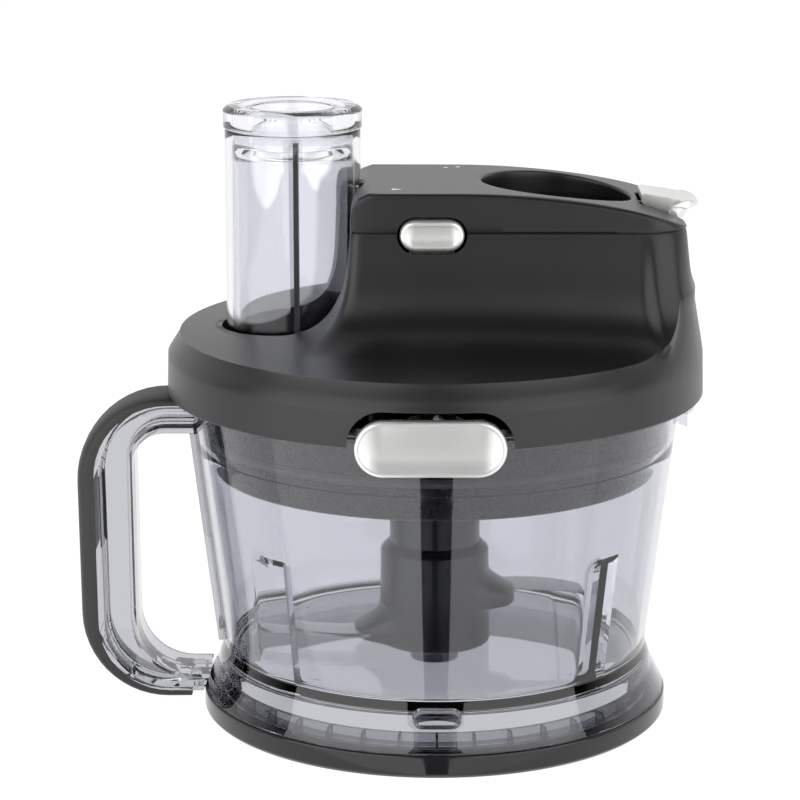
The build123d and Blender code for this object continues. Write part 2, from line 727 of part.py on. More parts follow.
with BuildPart() as output_shaft:
    with BuildSketch(Plane.XY.offset(70)):
        Circle(OUTPUT_RADIUS)
    extrude(amount=144.6 - 70)
output_shaft.part.label = "output_shaft"
export_step(output_shaft.part, "parts/output_shaft.step")

with BuildPart() as output_bearing:
    add(bush(0, 0, PILLAR_FOOT, 109, OUTPUT_RADIUS + RUNNING, OUTPUT_BUSH_RADIUS))
output_bearing.part.label = "output_bearing"
export_step(output_bearing.part, "parts/output_bearing.step")

with BuildPart() as shaft_seal:
    add(bush(0, 0, DRUM_BOTTOM, PILLAR_FOOT, OUTPUT_RADIUS + RUNNING, OUTPUT_BUSH_RADIUS))
shaft_seal.part.label = "shaft_seal"
export_step(shaft_seal.part, "parts/shaft_seal.step")

with BuildPart() as drive_stem:
    with BuildSketch(Plane.XY.offset(STEM_BOTTOM)):
        Circle(STEM_RADIUS)
    extrude(amount=DRUM_BOTTOM - 0.6 - STEM_BOTTOM)
    with BuildSketch(Plane.XY.offset(STEM_BOTTOM - 5.4)):
        RegularPolygon(8.6, 6)
    extrude(amount=5.4)
    with BuildSketch(Plane.XY.offset(70)):
        Circle(5)
    extrude(amount=30, mode=Mode.SUBTRACT)
drive_stem.part.label = "drive_stem"
export_step(drive_stem.part, "parts/drive_stem.step")

# ---------------------------------------------------------------- blade


def blade_outline(z, turn):
    """Swept-back blade in plan, its convex cutting edge leading an anticlockwise turn."""
    with BuildPart() as blade:
        with BuildSketch(Plane.XY.offset(z).rotated((0, 0, turn))):
            with BuildLine():
                ThreePointArc((10, 8), (44, 10), (66, -15))
                ThreePointArc((66, -15), (40, -3.5), (10, -8))
                Line((10, -8), (10, 8))
            make_face()
        extrude(amount=BLADE_THICK)
    return blade.part


with BuildPart() as upper_blade:
    add(blade_outline(UPPER_BLADE_Z, 0))
upper_blade.part.label = "upper_blade"
export_step(upper_blade.part, "parts/upper_blade.step")

with BuildPart() as lower_blade:
    add(blade_outline(LOWER_BLADE_Z, 180))
lower_blade.part.label = "lower_blade"
export_step(lower_blade.part, "parts/lower_blade.step")

with BuildPart() as blade_hub:
    with BuildSketch(Plane.XY.offset(HUB_BOTTOM)):
        Circle(HUB_RADIUS + 0.6)
    extrude(amount=HUB_TOP - HUB_BOTTOM, taper=0.9)
    fillet(blade_hub.edges().sort_by(Axis.Z)[-1], 1.2)
    for z, turn in ((HUB_BOTTOM + 0.6, 180), (UPPER_BLADE_Z - 6, 0)):
        with BuildSketch(Plane.XY.offset(z).rotated((0, 0, turn))):
            Polygon((0, -19), (24, -13), (29, -5), (29, 5), (24, 13), (0, 19), align=None)
        extrude(amount=10, taper=8)
    with BuildSketch(Plane.XY.offset(HUB_BOTTOM - 1)):
        Circle(9.6)
    extrude(amount=6.6, mode=Mode.SUBTRACT)
    with BuildSketch(Plane.XY.offset(HUB_BOTTOM)):
        Circle(SLEEVE_RADIUS + RUNNING)
    extrude(amount=30, mode=Mode.SUBTRACT)
    with BuildSketch(Plane.XY.offset(HUB_TOP - 6.4)):
        RegularPolygon(8.9, 6)
    extrude(amount=10, mode=Mode.SUBTRACT)
    add(upper_blade.part, mode=Mode.SUBTRACT)
    add(lower_blade.part, mode=Mode.SUBTRACT)
blade_hub.part.label = "blade_hub"
export_step(blade_hub.part, "parts/blade_hub.step")

with BuildPart() as blade_sleeve:
    add(bush(0, 0, 30.6, 54.4, PIN_RADIUS + RUNNING, SLEEVE_RADIUS))
blade_sleeve.part.label = "blade_sleeve"
export_step(blade_sleeve.part, "parts/blade_sleeve.step")


# ---------------------------------------------------------------- latches, buttons and lever
def coil(start, direction, length, radius, wire, turns):
    """Compression spring from a start point along a direction."""
    with BuildPart() as spring:
        with BuildLine():
            helix = Helix(pitch=length / turns, height=length, radius=radius, center=start, direction=direction)
        with BuildSketch(Plane(origin=helix @ 0, z_dir=helix % 0)):
            Circle(wire)
        sweep(is_frenet=True)
    return spring.part


def latch(side):
    """Latch seen from outside: a stadium pad with a catch block and two guide arms behind it."""
    with BuildPart() as body:
        with BuildSketch(Plane(origin=(0, side * (LATCH_FACE_Y - LATCH_THICK), LATCH_Z), x_dir=(1, 0, 0), z_dir=(0, side, 0))):
            with Locations((LATCH_X, 0)):
                SlotOverall(LATCH_WIDTH, LATCH_HEIGHT)
        extrude(amount=LATCH_THICK)
        with Locations((0, side * (LATCH_FACE_Y - 4.6), 116.8)):
            Box(20, 2.6, 7.4)
        with Locations((-LATCH_ARM_X, side * 91.6, 129), (LATCH_ARM_X, side * 91.6, 129)):
            Box(4, 8.2, 1.6)
    return body.part


def release_button(side):
    """Release button: a stadium cap with a retaining flange inside the wall."""
    with BuildPart() as body:
        plane = Plane(origin=(RELEASE_X, side * 31, RELEASE_Z), x_dir=(1, 0, 0), z_dir=(0, side, 0))
        with BuildSketch(plane):
            SlotOverall(RELEASE_WIDTH, RELEASE_HEIGHT)
        extrude(amount=5.4)
        with BuildSketch(plane):
            SlotOverall(RELEASE_WIDTH + 4, RELEASE_HEIGHT + 4)
        extrude(amount=1.2)
    return body.part


with BuildPart() as latch_front:
    add(latch(-1))
latch_front.part.label = "latch_front"
export_step(latch_front.part, "parts/latch_front.step")

with BuildPart() as latch_rear:
    add(latch(1))
latch_rear.part.label = "latch_rear"
export_step(latch_rear.part, "parts/latch_rear.step")

with BuildPart() as latch_spring_front:
    add(coil((0, -95.0, 129.6), (0, 1, 0), 7.4, 1.6, 0.3, 4))
latch_spring_front.part.label = "latch_spring_front"
export_step(latch_spring_front.part, "parts/latch_spring_front.step")

with BuildPart() as latch_spring_rear:
    add(coil((0, 95.0, 129.6), (0, -1, 0), 7.4, 1.6, 0.3, 4))
latch_spring_rear.part.label = "latch_spring_rear"
export_step(latch_spring_rear.part, "parts/latch_spring_rear.step")

with BuildPart() as release_front:
    add(release_button(-1))
release_front.part.label = "release_front"
export_step(release_front.part, "parts/release_front.step")

with BuildPart() as release_rear:
    add(release_button(1))
release_rear.part.label = "release_rear"
export_step(release_rear.part, "parts/release_rear.step")

with BuildPart() as release_spring_front:
    add(coil((RELEASE_X, -30.6, RELEASE_Z), (0, 1, 0), 5.6, 3.0, 0.35, 4))
release_spring_front.part.label = "release_spring_front"
export_step(release_spring_front.part, "parts/release_spring_front.step")

with BuildPart() as release_spring_rear:
    add(coil((RELEASE_X, 30.6, RELEASE_Z), (0, -1, 0), 5.6, 3.0, 0.35, 4))
release_spring_rear.part.label = "release_spring_rear"
export_step(release_spring_rear.part, "parts/release_spring_rear.step")

with BuildPart() as lever:
    with BuildSketch(Plane.XZ):
        with BuildLine():
            Polyline((73.6, 191.6), (73.6, 194.6), (91.6, 192.2), (94.4, 192.4), (94.8, 190.4), (94.0, 188.4))
            ThreePointArc((94.0, 188.4), (90.6, 187.0), (88.4, 184.6))
            Polyline((88.4, 184.6), (84.6, 183.6), (81.2, 186.4), (73.6, 191.6))
        make_face()
    extrude(amount=LEVER_WIDTH / 2, both=True)
    with BuildSketch(Plane.XZ):
        with Locations((LEVER_PIVOT_X, LEVER_PIVOT_Z)):
            Circle(1.5 + RUNNING)
    extrude(amount=20, both=True, mode=Mode.SUBTRACT)
lever.part.label = "lever"
export_step(lever.part, "parts/lever.step")
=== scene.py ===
# %% [markdown]
# # A food processor attachment, looks built around its CAD frame
# The frame holds every part at its real place. This lesson keeps the frame's hidden machinery
# as it is and replaces what the eye meets with smooth surfaces worked out by formulas.

# %% Load the frame and keep its box
import json
from math import radians

import bmesh
import bpy
import numpy as np
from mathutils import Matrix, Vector


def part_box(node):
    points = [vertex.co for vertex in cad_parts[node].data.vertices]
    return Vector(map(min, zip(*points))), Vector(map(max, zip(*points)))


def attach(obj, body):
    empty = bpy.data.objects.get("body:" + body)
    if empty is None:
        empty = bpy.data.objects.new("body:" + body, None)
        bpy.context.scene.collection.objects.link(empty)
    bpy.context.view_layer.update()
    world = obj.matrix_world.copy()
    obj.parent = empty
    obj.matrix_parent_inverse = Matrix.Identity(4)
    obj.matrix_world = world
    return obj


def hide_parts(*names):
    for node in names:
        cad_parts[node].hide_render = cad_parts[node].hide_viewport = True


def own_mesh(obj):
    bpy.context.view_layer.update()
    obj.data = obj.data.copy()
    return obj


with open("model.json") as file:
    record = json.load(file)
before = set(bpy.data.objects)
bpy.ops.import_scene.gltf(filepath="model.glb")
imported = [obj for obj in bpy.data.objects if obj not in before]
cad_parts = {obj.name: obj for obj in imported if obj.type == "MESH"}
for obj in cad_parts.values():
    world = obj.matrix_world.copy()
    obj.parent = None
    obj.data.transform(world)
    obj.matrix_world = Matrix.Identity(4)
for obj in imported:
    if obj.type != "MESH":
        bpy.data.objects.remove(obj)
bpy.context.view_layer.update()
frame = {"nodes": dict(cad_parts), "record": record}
nodes = frame["nodes"]
MM = 0.001

# %% [markdown]
# ## Sizes
# The frame says where each part is, so radii and heights are read from the nodes' boxes.
# What a box can't say, such as a wall's slope, is a named value in millimetres.

# %% Read sizes from the frame, in millimetres


def node_box(name):
    """Lowest and highest corner of a node, in millimetres."""
    low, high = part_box(name)
    return np.array(low) / MM, np.array(high) / MM


def node_middle(name):
    """Middle of a node's box, in millimetres."""
    return sum(node_box(name)) / 2


foot_high = node_box("foot_ring")[1]
lid_low, lid_high = node_box("lid_cover")
FOOT_R = foot_high[0]
SKIRT_BOTTOM = foot_high[2]
SKIRT_TOP = 26.0
SKIRT_TOP_R = 78.3
WALL_SLOPE = 0.1225
FLOOR_TOP = 24.0
BOWL_TOP = node_box("bowl")[1][2]
LID_R = -lid_low[0] - 0.4
LID_BOTTOM = lid_low[2]
PARTING = lid_high[2]
TOP_Z = node_box("top_cover")[1][2]
TUBE_X = node_middle("pusher")[0]
TUBE_TOP = node_box("feed_tube")[1][2]
SOCKET_X = node_middle("socket_liner")[0]
SOCKET_R = 27.0
LATCH_X = node_middle("latch_front")[0]
AXLE_X, AXLE_Y = node_middle("lay_axle")[:2]
print("foot radius", FOOT_R, "lid radius", LID_R, "parting line", PARTING)


def wall_radius(z):
    """Outer radius of the bowl's cone: its radius at the skirt plus the slope times the height above it."""
    return SKIRT_TOP_R + (z - SKIRT_TOP) * WALL_SLOPE


print("wall radius at the bowl's top:", wall_radius(BOWL_TOP))


# %% [markdown]
# ## Tools for surfaces
# Nearly every moulding here is a profile carried round an axis or along a path. A few small
# helpers turn arrays of points into closed meshes, so each later cell holds only its formula.

# %% Helpers: outlines


def rounded(corners, radii, steps=7, closed=True):
    """Outline whose corners are arcs. Each arc touches both sides of its corner: it starts radius / tan(half
    the corner's angle) before the corner, ends as far after it, and turns about the point on the bisector
    that lies the radius away from both sides."""
    p = np.array(corners, float)
    r = np.array(radii, float)[:, None]
    a = np.roll(p, 1, 0) - p
    b = np.roll(p, -1, 0) - p
    if not closed:
        a[0], b[-1] = -b[0], -a[-1]
    a /= np.linalg.norm(a, axis=1, keepdims=True)
    b /= np.linalg.norm(b, axis=1, keepdims=True)
    half = 0.5 * np.arccos(np.clip((a * b).sum(1, keepdims=True), -0.999999, 0.999999))
    bisector = a + b
    bisector /= np.maximum(np.linalg.norm(bisector, axis=1, keepdims=True), 1e-9)
    centre = p + bisector * r / np.sin(half)
    v0 = p + a * r / np.tan(half) - centre
    v1 = p + b * r / np.tan(half) - centre
    turn = np.maximum(np.pi - 2 * half, 1e-4)[:, None, :]
    f = np.linspace(0, 1, steps)[None, :, None]
    arcs = (np.sin((1 - f) * turn) * v0[:, None] + np.sin(f * turn) * v1[:, None]) / np.sin(turn)
    points = centre[:, None] + arcs
    if not closed:
        points[0], points[-1] = p[0], p[-1]
    return points.reshape(-1, 2)


def densify(points, step, closed=True):
    """Same outline with extra points, so that no run between two points is longer than the step."""
    p = np.array(points, float)
    q = np.roll(p, -1, 0) if closed else p[1:]
    p = p if closed else p[:-1]
    counts = np.maximum(np.ceil(np.linalg.norm(q - p, axis=1) / step).astype(int), 1)
    owner = np.repeat(np.arange(len(p)), counts)
    first = np.repeat(np.cumsum(counts) - counts, counts)
    f = ((np.arange(counts.sum()) - first) / counts[owner])[:, None]
    out = p[owner] * (1 - f) + q[owner] * f
    return out if closed else np.vstack([out, q[-1]])


def stadium(width, height, count=24):
    """Outline of a slot: two half circles of half the height, joined by straight runs, anticlockwise."""
    radius = height / 2
    angle = np.linspace(-np.pi / 2, np.pi / 2, count)
    right = np.c_[width / 2 - radius + radius * np.cos(angle), radius * np.sin(angle)]
    return np.vstack([right, -right])


def circle(radius, count=40):
    """Points evenly spaced round a circle about the origin."""
    angle = np.linspace(0, 2 * np.pi, count, endpoint=False)
    return np.c_[radius * np.cos(angle), radius * np.sin(angle)]


def bend(start, control, end, f):
    """Quadratic curve: it leaves the start towards the control point and comes from there to the end."""
    return (1 - f) ** 2 * start + 2 * f * (1 - f) * control + f**2 * end


print("points on a rounded square:", len(rounded([(0, 0), (4, 0), (4, 4), (0, 4)], [1] * 4)))


# %% Helpers: meshes


def surface(name, grid, close_u=True, close_v=True):
    """Mesh object from a grid of points in millimetres: neighbours in u and v share a face, and a closed
    direction joins its last row to its first."""
    nu, nv = grid.shape[:2]
    across, along = np.arange(nu if close_u else nu - 1), np.arange(nv if close_v else nv - 1)
    i, j = np.meshgrid(across, along, indexing="ij")
    i2, j2 = (i + 1) % nu, (j + 1) % nv
    quads = np.stack([i * nv + j, i2 * nv + j, i2 * nv + j2, i * nv + j2], -1).reshape(-1, 4)
    mesh = bpy.data.meshes.new(name)
    mesh.from_pydata((grid.reshape(-1, 3) * MM).tolist(), [], quads.tolist())
    obj = bpy.data.objects.new(name, mesh)
    bpy.context.scene.collection.objects.link(obj)
    return obj


def finish_mesh(obj, sharp=32.0, merge=1e-6):
    """Merges doubles, turns the faces outwards, and smooths all but the edges sharper than the angle."""
    work = bmesh.new()
    work.from_mesh(obj.data)
    bmesh.ops.remove_doubles(work, verts=work.verts, dist=merge)
    bmesh.ops.dissolve_degenerate(work, edges=work.edges, dist=merge / 4)
    bmesh.ops.recalc_face_normals(work, faces=work.faces)
    work.to_mesh(obj.data)
    work.free()
    obj.data.shade_smooth()
    obj.data.set_sharp_from_angle(angle=radians(sharp))
    print(f"{obj.name}: {len(obj.data.polygons)} faces")
    return obj


def lathe(name, profile, centre=(0.0, 0.0), count=160, sharp=32.0):
    """Closed profile of (radius, height) turned about an upright axis."""
    angle = np.linspace(0, 2 * np.pi, count, endpoint=False)[:, None]
    r, z = profile[None, :, 0], profile[None, :, 1]
    grid = np.stack([centre[0] + r * np.cos(angle), centre[1] + r * np.sin(angle), z + 0 * angle], -1)
    return finish_mesh(surface(name, grid), sharp)


def loft_rows(name, rows, sharp=32.0):
    """Closed rows of points stacked into a tube whose two ends are drawn in to their middles."""
    ends = rows[[0, -1]].mean(1, keepdims=True) + 0 * rows[[0, -1]]
    return finish_mesh(surface(name, np.concatenate([ends[:1], rows, ends[1:]]), close_u=False), sharp)


def cut(obj, cutter):
    """Takes the cutter's space out of the object, then removes the cutter."""
    step = obj.modifiers.new("cut", "BOOLEAN")
    step.object, step.operation, step.solver = cutter, "DIFFERENCE", "MANIFOLD"
    bpy.context.view_layer.objects.active = obj
    bpy.ops.object.modifier_apply(modifier=step.name)
    bpy.data.objects.remove(cutter)


def apply(obj, kind, **values):
    """Adds a modifier with the given settings and applies it."""
    step = obj.modifiers.new(kind.lower(), kind)
    for key, value in values.items():
        setattr(step, key, value)
    bpy.context.view_layer.objects.active = obj
    bpy.ops.object.modifier_apply(modifier=step.name)


def join(first, *others):
    """Adds the other meshes to the first one, as separate shells of one moulding."""
    work = bmesh.new()
    for obj in (first, *others):
        work.from_mesh(obj.data)
    work.to_mesh(first.data)
    work.free()
    for obj in others:
        bpy.data.objects.remove(obj)
    return first


def upright_prism(name, outline, low, high):
    """Straight prism on a plan outline."""
    rows = np.stack([np.c_[outline, np.full(len(outline), z)] for z in (low, high)])
    return loft_rows(name, rows)


def front_prism(name, outline, centre, near, far):
    """Straight prism along Y on an upright outline of (x, z), centred on a point."""
    x, z = outline[:, 0] + centre[0], outline[:, 1] + centre[1]
    rows = np.stack([np.c_[x, np.full(len(x), y), z] for y in (near, far)])
    return loft_rows(name, rows)


def place(obj, body, slot, *replaced):
    """Says which body the piece rides on, whose finish it takes and which CAD nodes it stands for."""
    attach(obj, body)
    if replaced:
        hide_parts(*replaced)
    obj.data.materials.clear()
    obj.data.materials.append(FINISH[slot])
    return obj


print("helpers ready; one millimetre is", MM, "m")


# %% [markdown]
# ## Finishes
# Moulded plastic is never one flat colour: the tool leaves a fine grain, the gloss changes a
# little over the surface and clear parts carry faint flow marks. Painted maps could show that,
# but noise on Object coordinates needs no unwrapping and has the same scale on every piece.
# Each finish is one shader with its even values on its own sockets and noise on the uneven ones.

# %% Helpers: materials
FINISH = {}


def new_finish(slot, colour, roughness, metallic=0.0, ior=1.5):
    """Principled shader with even values on its own sockets. Returns the node tree and the shader."""
    mat = bpy.data.materials.new(slot)
    mat.use_nodes = True
    tree = mat.node_tree
    shader = tree.nodes["Principled BSDF"]
    shader.inputs["Base Color"].default_value = (*colour, 1)
    shader.inputs["Roughness"].default_value = roughness
    shader.inputs["Metallic"].default_value = metallic
    shader.inputs["IOR"].default_value = ior
    FINISH[slot] = mat
    return tree, shader


def noise(tree, scale, detail=3.0, stretch=(1, 1, 1)):
    """Noise on Object coordinates, optionally stretched along an axis."""
    where = tree.nodes.new("ShaderNodeTexCoord")
    mapping = tree.nodes.new("ShaderNodeMapping")
    mapping.inputs["Scale"].default_value = stretch
    texture = tree.nodes.new("ShaderNodeTexNoise")
    texture.inputs["Scale"].default_value = scale
    texture.inputs["Detail"].default_value = detail
    tree.links.new(where.outputs["Object"], mapping.inputs["Vector"])
    tree.links.new(mapping.outputs["Vector"], texture.inputs["Vector"])
    return texture.outputs["Fac"]


def spread(tree, factor, low, high):
    """Maps a noise from its middle range onto low to high."""
    node = tree.nodes.new("ShaderNodeMapRange")
    node.inputs["From Min"].default_value = 0.3
    node.inputs["From Max"].default_value = 0.7
    node.inputs["To Min"].default_value = low
    node.inputs["To Max"].default_value = high
    tree.links.new(factor, node.inputs["Value"])
    return node.outputs["Result"]


def tint(tree, factor, dark, light):
    """Colour that wanders between two tones with a noise."""
    ramp = tree.nodes.new("ShaderNodeValToRGB")
    ramp.color_ramp.elements[0].position, ramp.color_ramp.elements[1].position = 0.3, 0.7
    ramp.color_ramp.elements[0].color, ramp.color_ramp.elements[1].color = (*dark, 1), (*light, 1)
    tree.links.new(factor, ramp.inputs["Fac"])
    return ramp.outputs["Color"]


def bump(tree, shader, factor, strength, distance):
    """Relief on the shader's normal from a noise."""
    node = tree.nodes.new("ShaderNodeBump")
    node.inputs["Strength"].default_value = strength
    node.inputs["Distance"].default_value = distance
    tree.links.new(factor, node.inputs["Height"])
    tree.links.new(node.outputs["Normal"], shader.inputs["Normal"])


print("material helpers ready")


# %% Opaque mouldings


def moulded(slot, dark, light, rough, grain, relief, stretch=(1, 1, 1), metallic=0.0):
    """Plastic, rubber or painted part: two close tones, a gloss that wanders, and a fine grain in relief."""
    tree, shader = new_finish(slot, light, rough[0], metallic)
    broad, fine = noise(tree, 38.0), noise(tree, grain, 2.0, stretch)
    tree.links.new(tint(tree, broad, dark, light), shader.inputs["Base Color"])
    tree.links.new(spread(tree, fine, *rough), shader.inputs["Roughness"])
    if relief:
        bump(tree, shader, fine, 0.35, relief)
    return shader


moulded("lid_plastic", (0.0045, 0.0045, 0.005), (0.006, 0.006, 0.0066), (0.32, 0.40), 2600.0, 0.00003)
moulded("tray_plastic", (0.004, 0.004, 0.0048), (0.006, 0.006, 0.007), (0.24, 0.30), 900.0, 0.0)
moulded("hub_plastic", (0.004, 0.004, 0.0048), (0.006, 0.006, 0.007), (0.18, 0.24), 900.0, 0.0)
moulded("soft_grip", (0.014, 0.014, 0.0135), (0.019, 0.019, 0.018), (0.50, 0.60), 2200.0, 0.00005)
moulded("foot_rubber", (0.009, 0.009, 0.010), (0.013, 0.013, 0.0145), (0.10, 0.15), 1800.0, 0.0)
moulded("seal_rubber", (0.05, 0.05, 0.052), (0.07, 0.07, 0.072), (0.5, 0.6), 1500.0, 0.00003)
moulded("gear_nylon", (0.62, 0.6, 0.54), (0.72, 0.7, 0.64), (0.4, 0.5), 900.0, 0.00003)
print("mouldings:", sorted(FINISH))

# %% [markdown]
# Metals use the same recipe with the metallic value up. Noise that is squeezed along one axis
# gives the fine lines of brushed or ground steel, and the latches get an even satin coat.

# %% Metals
moulded(
    "satin_silver", (0.73, 0.725, 0.71), (0.79, 0.785, 0.77), (0.28, 0.34), 3200.0, 0.00002, metallic=0.78
)
moulded("steel", (0.42, 0.42, 0.43), (0.5, 0.5, 0.51), (0.24, 0.36), 900.0, 0.00002, (1, 1, 0.05), 1.0)
moulded("blade_steel", (0.4, 0.4, 0.41), (0.5, 0.5, 0.51), (0.14, 0.26), 1100.0, 0.00002, (0.04, 1, 1), 1.0)
moulded("bronze", (0.36, 0.23, 0.1), (0.46, 0.3, 0.15), (0.35, 0.5), 1400.0, 0.00003, (1, 1, 1), 1.0)
print("with metals:", len(FINISH), "finishes")

# %% [markdown]
# Clear plastic is a shell that light crosses twice per wall. It is made as real glass, tinted
# a little, and a plain see-through shader stands in for rays from lamps so that they reach
# what is inside, as they do in a real bowl.

# %% Clear mouldings


def clear(slot, colour, shadow, rough, ior=1.53):
    """Clear plastic with faint flow marks in its gloss and relief."""
    tree, shader = new_finish(slot, colour, rough, 0.0, ior)
    shader.inputs["Transmission Weight"].default_value = 1.0
    flow = noise(tree, 24.0, 2.0, (1, 1, 3))
    tree.links.new(spread(tree, flow, rough * 0.5, rough * 1.6), shader.inputs["Roughness"])
    bump(tree, shader, flow, 0.04, 0.0002)
    through = tree.nodes.new("ShaderNodeBsdfTransparent")
    through.inputs["Color"].default_value = (*shadow, 1)
    path = tree.nodes.new("ShaderNodeLightPath")
    mix = tree.nodes.new("ShaderNodeMixShader")
    output = tree.nodes["Material Output"]
    tree.links.new(path.outputs["Is Shadow Ray"], mix.inputs[0])
    tree.links.new(shader.outputs["BSDF"], mix.inputs[1])
    tree.links.new(through.outputs["BSDF"], mix.inputs[2])
    tree.links.new(mix.outputs["Shader"], output.inputs["Surface"])


SMOKE = (0.69, 0.70, 0.745)
clear("smoky_clear", SMOKE, (0.80, 0.805, 0.83), 0.02)
clear("bright_clear", (0.90, 0.905, 0.93), (0.93, 0.935, 0.95), 0.015)
clear("handle_clear", (0.49, 0.495, 0.525), (0.72, 0.725, 0.75), 0.02)
print("with clear plastics:", len(FINISH), "finishes")

# %% [markdown]
# The bowl's skirt is thick and slanted, so light crosses more plastic there and it looks darker.
# Absorption in the volume would show that too, but it is slow and noisy. A tint that follows the
# height gives the same look at once.

# %% Deeper tint towards the foot


def deepen(slot, deep, colour, low, high):
    """Tint that goes from deep to normal between two heights in metres, because the skirt is thick and
    slanted, so that light crosses more plastic there than in the wall."""
    tree = FINISH[slot].node_tree
    where = tree.nodes.new("ShaderNodeTexCoord")
    split = tree.nodes.new("ShaderNodeSeparateXYZ")
    height = tree.nodes.new("ShaderNodeMapRange")
    height.inputs["From Min"].default_value = low
    height.inputs["From Max"].default_value = high
    tree.links.new(where.outputs["Object"], split.inputs["Vector"])
    tree.links.new(split.outputs["Z"], height.inputs["Value"])
    shader = tree.nodes["Principled BSDF"]
    tree.links.new(tint(tree, height.outputs["Result"], deep, colour), shader.inputs["Base Color"])


deepen("smoky_clear", (0.46, 0.465, 0.5), SMOKE, 0.018, 0.027)
print("the skirt is tinted up to 18 mm, the wall from 27 mm")

# %% [markdown]
# ## Bowl
# The bowl is one clear moulding: a flared skirt, a gently conical wall with a step under the
# lid, and a floor with a boss for the spindle. Four wedge ribs on the inside stop food from
# circling. It could be a Screw modifier on a curve, with the ribs joined by booleans, but then
# light would bend at hidden inner faces. Here a profile is carried round the axis and the ribs
# are a sawtooth taken off the inner radius, so that wall and ribs stay one skin of one mould.

# %% Bowl profile and wall ribs
RIB_TOP, RIB_DEPTH, RIB_START, RIB_WIDTH = 72.0, 3.4, -7.0, 12.0
RIB_AZIMUTHS = np.array([-136.0, -44.0, 44.0, 136.0])

bowl_corners = [
    (3.0, 16), (9, 16), (9, 21.5), (77.4, 21.5), (79.2, 16.5), (83.7, SKIRT_BOTTOM), (85.8, SKIRT_BOTTOM),
    (81.2, 17.4), (SKIRT_TOP_R, SKIRT_TOP), (wall_radius(121), 121), (92.6, 121.6), (92.6, BOWL_TOP),
    (wall_radius(BOWL_TOP) - 1.8, BOWL_TOP), (wall_radius(102) - 1.8, 102), (wall_radius(102) - 2.8, 102),
    (wall_radius(26) - 2.7, FLOOR_TOP), (9, FLOOR_TOP), (8, 30), (3.0, 30),
]
bowl_radii = [0, 0.4, 0.4, 2.5, 9, 0.5, 0.5, 14, 3, 0.5, 0.5, 0.6, 0.5, 0.5, 0.4, 4.5, 1.0, 0.6, 0]
bowl_profile = densify(rounded(bowl_corners, bowl_radii, 6), 2.5)
print("bowl profile points:", len(bowl_profile))


def sawtooth(angle):
    """Rib thickness about the axis, 0 to 1: it grows over the rib's width and drops at its end."""
    degrees = np.degrees(angle)[:, None] - RIB_AZIMUTHS - RIB_START
    along = (degrees + 180) % 360 - 180
    return np.where((along >= 0) & (along <= RIB_WIDTH), along / RIB_WIDTH, 0).max(1)


def bowl_angles(count=264):
    """Stations about the axis, with a close pair at the steep end of each rib."""
    ends = np.radians(RIB_AZIMUTHS + RIB_START + RIB_WIDTH)
    extra = np.concatenate([ends - 0.0005, ends + 0.004])
    return np.sort(np.concatenate([np.linspace(-np.pi, np.pi, count, endpoint=False), extra]))


def bowl_grid(profile):
    """Profile radius less the rib's thickness, wherever the row is on the inner wall below the ribs' top."""
    angle = bowl_angles()
    r, z = profile[:, 0], profile[:, 1]
    inner = (r > 66) & (r < wall_radius(z) - 2.0) & (z > FLOOR_TOP - 0.01) & (z < RIB_TOP)
    rib = sawtooth(angle)[:, None] * np.where(inner, RIB_DEPTH, 0)[None, :]
    radius = r[None, :] - rib
    return np.stack([radius * np.cos(angle)[:, None], radius * np.sin(angle)[:, None], z + 0 * radius], -1)


bowl = finish_mesh(surface("clear_bowl", bowl_grid(bowl_profile)), 28.0)
place(bowl, "bowl", "smoky_clear", "bowl")

# %% [markdown]
# ## Lid cover
# The cover is one dark moulding: a shallow domed drum whose outer band rises at the right end
# into the wall of the gear housing. It is built from stations about a spine inside the housing.
# Each station is an upright profile that runs down the housing wall, flares out on to the dome,
# turns over the shoulder and ends at the band's lower edge. Where the wall comes close to the
# band the flare has no room to reach the dome, so the shoulder rises and becomes the ridge.
# A sculpted subdivision cage could give this flow too, but a formula keeps every wall true.

# %% Stations and plan shapes
HOUSING_LEFT, HOUSING_RIGHT, HOUSING_HALF, CORNER_R = -30.5, 89.0, 35.0, 14.0
SHOULDER_R, SHOULDER_Z, DOME_Z, BAND_TOP = 92.8, 143.2, 147.2, 137.0
FLARE_REACH, FLARE_RISE, WALL_DRAFT, MAX_DRAFT = 26.0, 26.0, 3.9, 7.5
DRAFT_HEIGHT, SLANT_HEIGHT, NEAR_GAP, LEAST_GAP = 37.5, 47.0, 14.0, 0.8
SHOULDER_DROP, BAND_SLOPE = 5.2, 0.025


def outline_distance(x, y):
    """Distance outside the housing's plan outline: a box with round corners at the right and tight ones at
    the left."""
    corner = np.where(x > 30, CORNER_R, 3.0)
    middle, half_x = (HOUSING_LEFT + HOUSING_RIGHT) / 2, (HOUSING_RIGHT - HOUSING_LEFT) / 2
    qx, qy = np.abs(x - middle) - half_x + corner, np.abs(y) - HOUSING_HALF + corner
    outside = np.hypot(np.maximum(qx, 0), np.maximum(qy, 0))
    return outside + np.minimum(np.maximum(qx, qy), 0) - corner


def reach_outline(ox, oy, ex, ey):
    """How far a ray goes before it meets the housing's outline, found by halving its range 40 times."""
    low, high = np.zeros_like(ex), np.full_like(ex, 140.0)
    for _ in range(40):
        mid = (low + high) / 2
        inside = outline_distance(ox + mid * ex, oy + mid * ey) < 0
        low, high = np.where(inside, mid, low), np.where(inside, high, mid)
    return low


def reach_circle(ox, oy, ex, ey, radius):
    """How far a ray goes before it meets a circle about the bowl's axis: the larger root of a quadratic."""
    along = ox * ex + oy * ey
    return -along + np.sqrt(along**2 - ox**2 - oy**2 + radius**2)


def dome(radius):
    """Height of the dome: it falls by the square of the distance from the axis."""
    return DOME_Z - (DOME_Z - SHOULDER_Z) * (radius / SHOULDER_R) ** 2


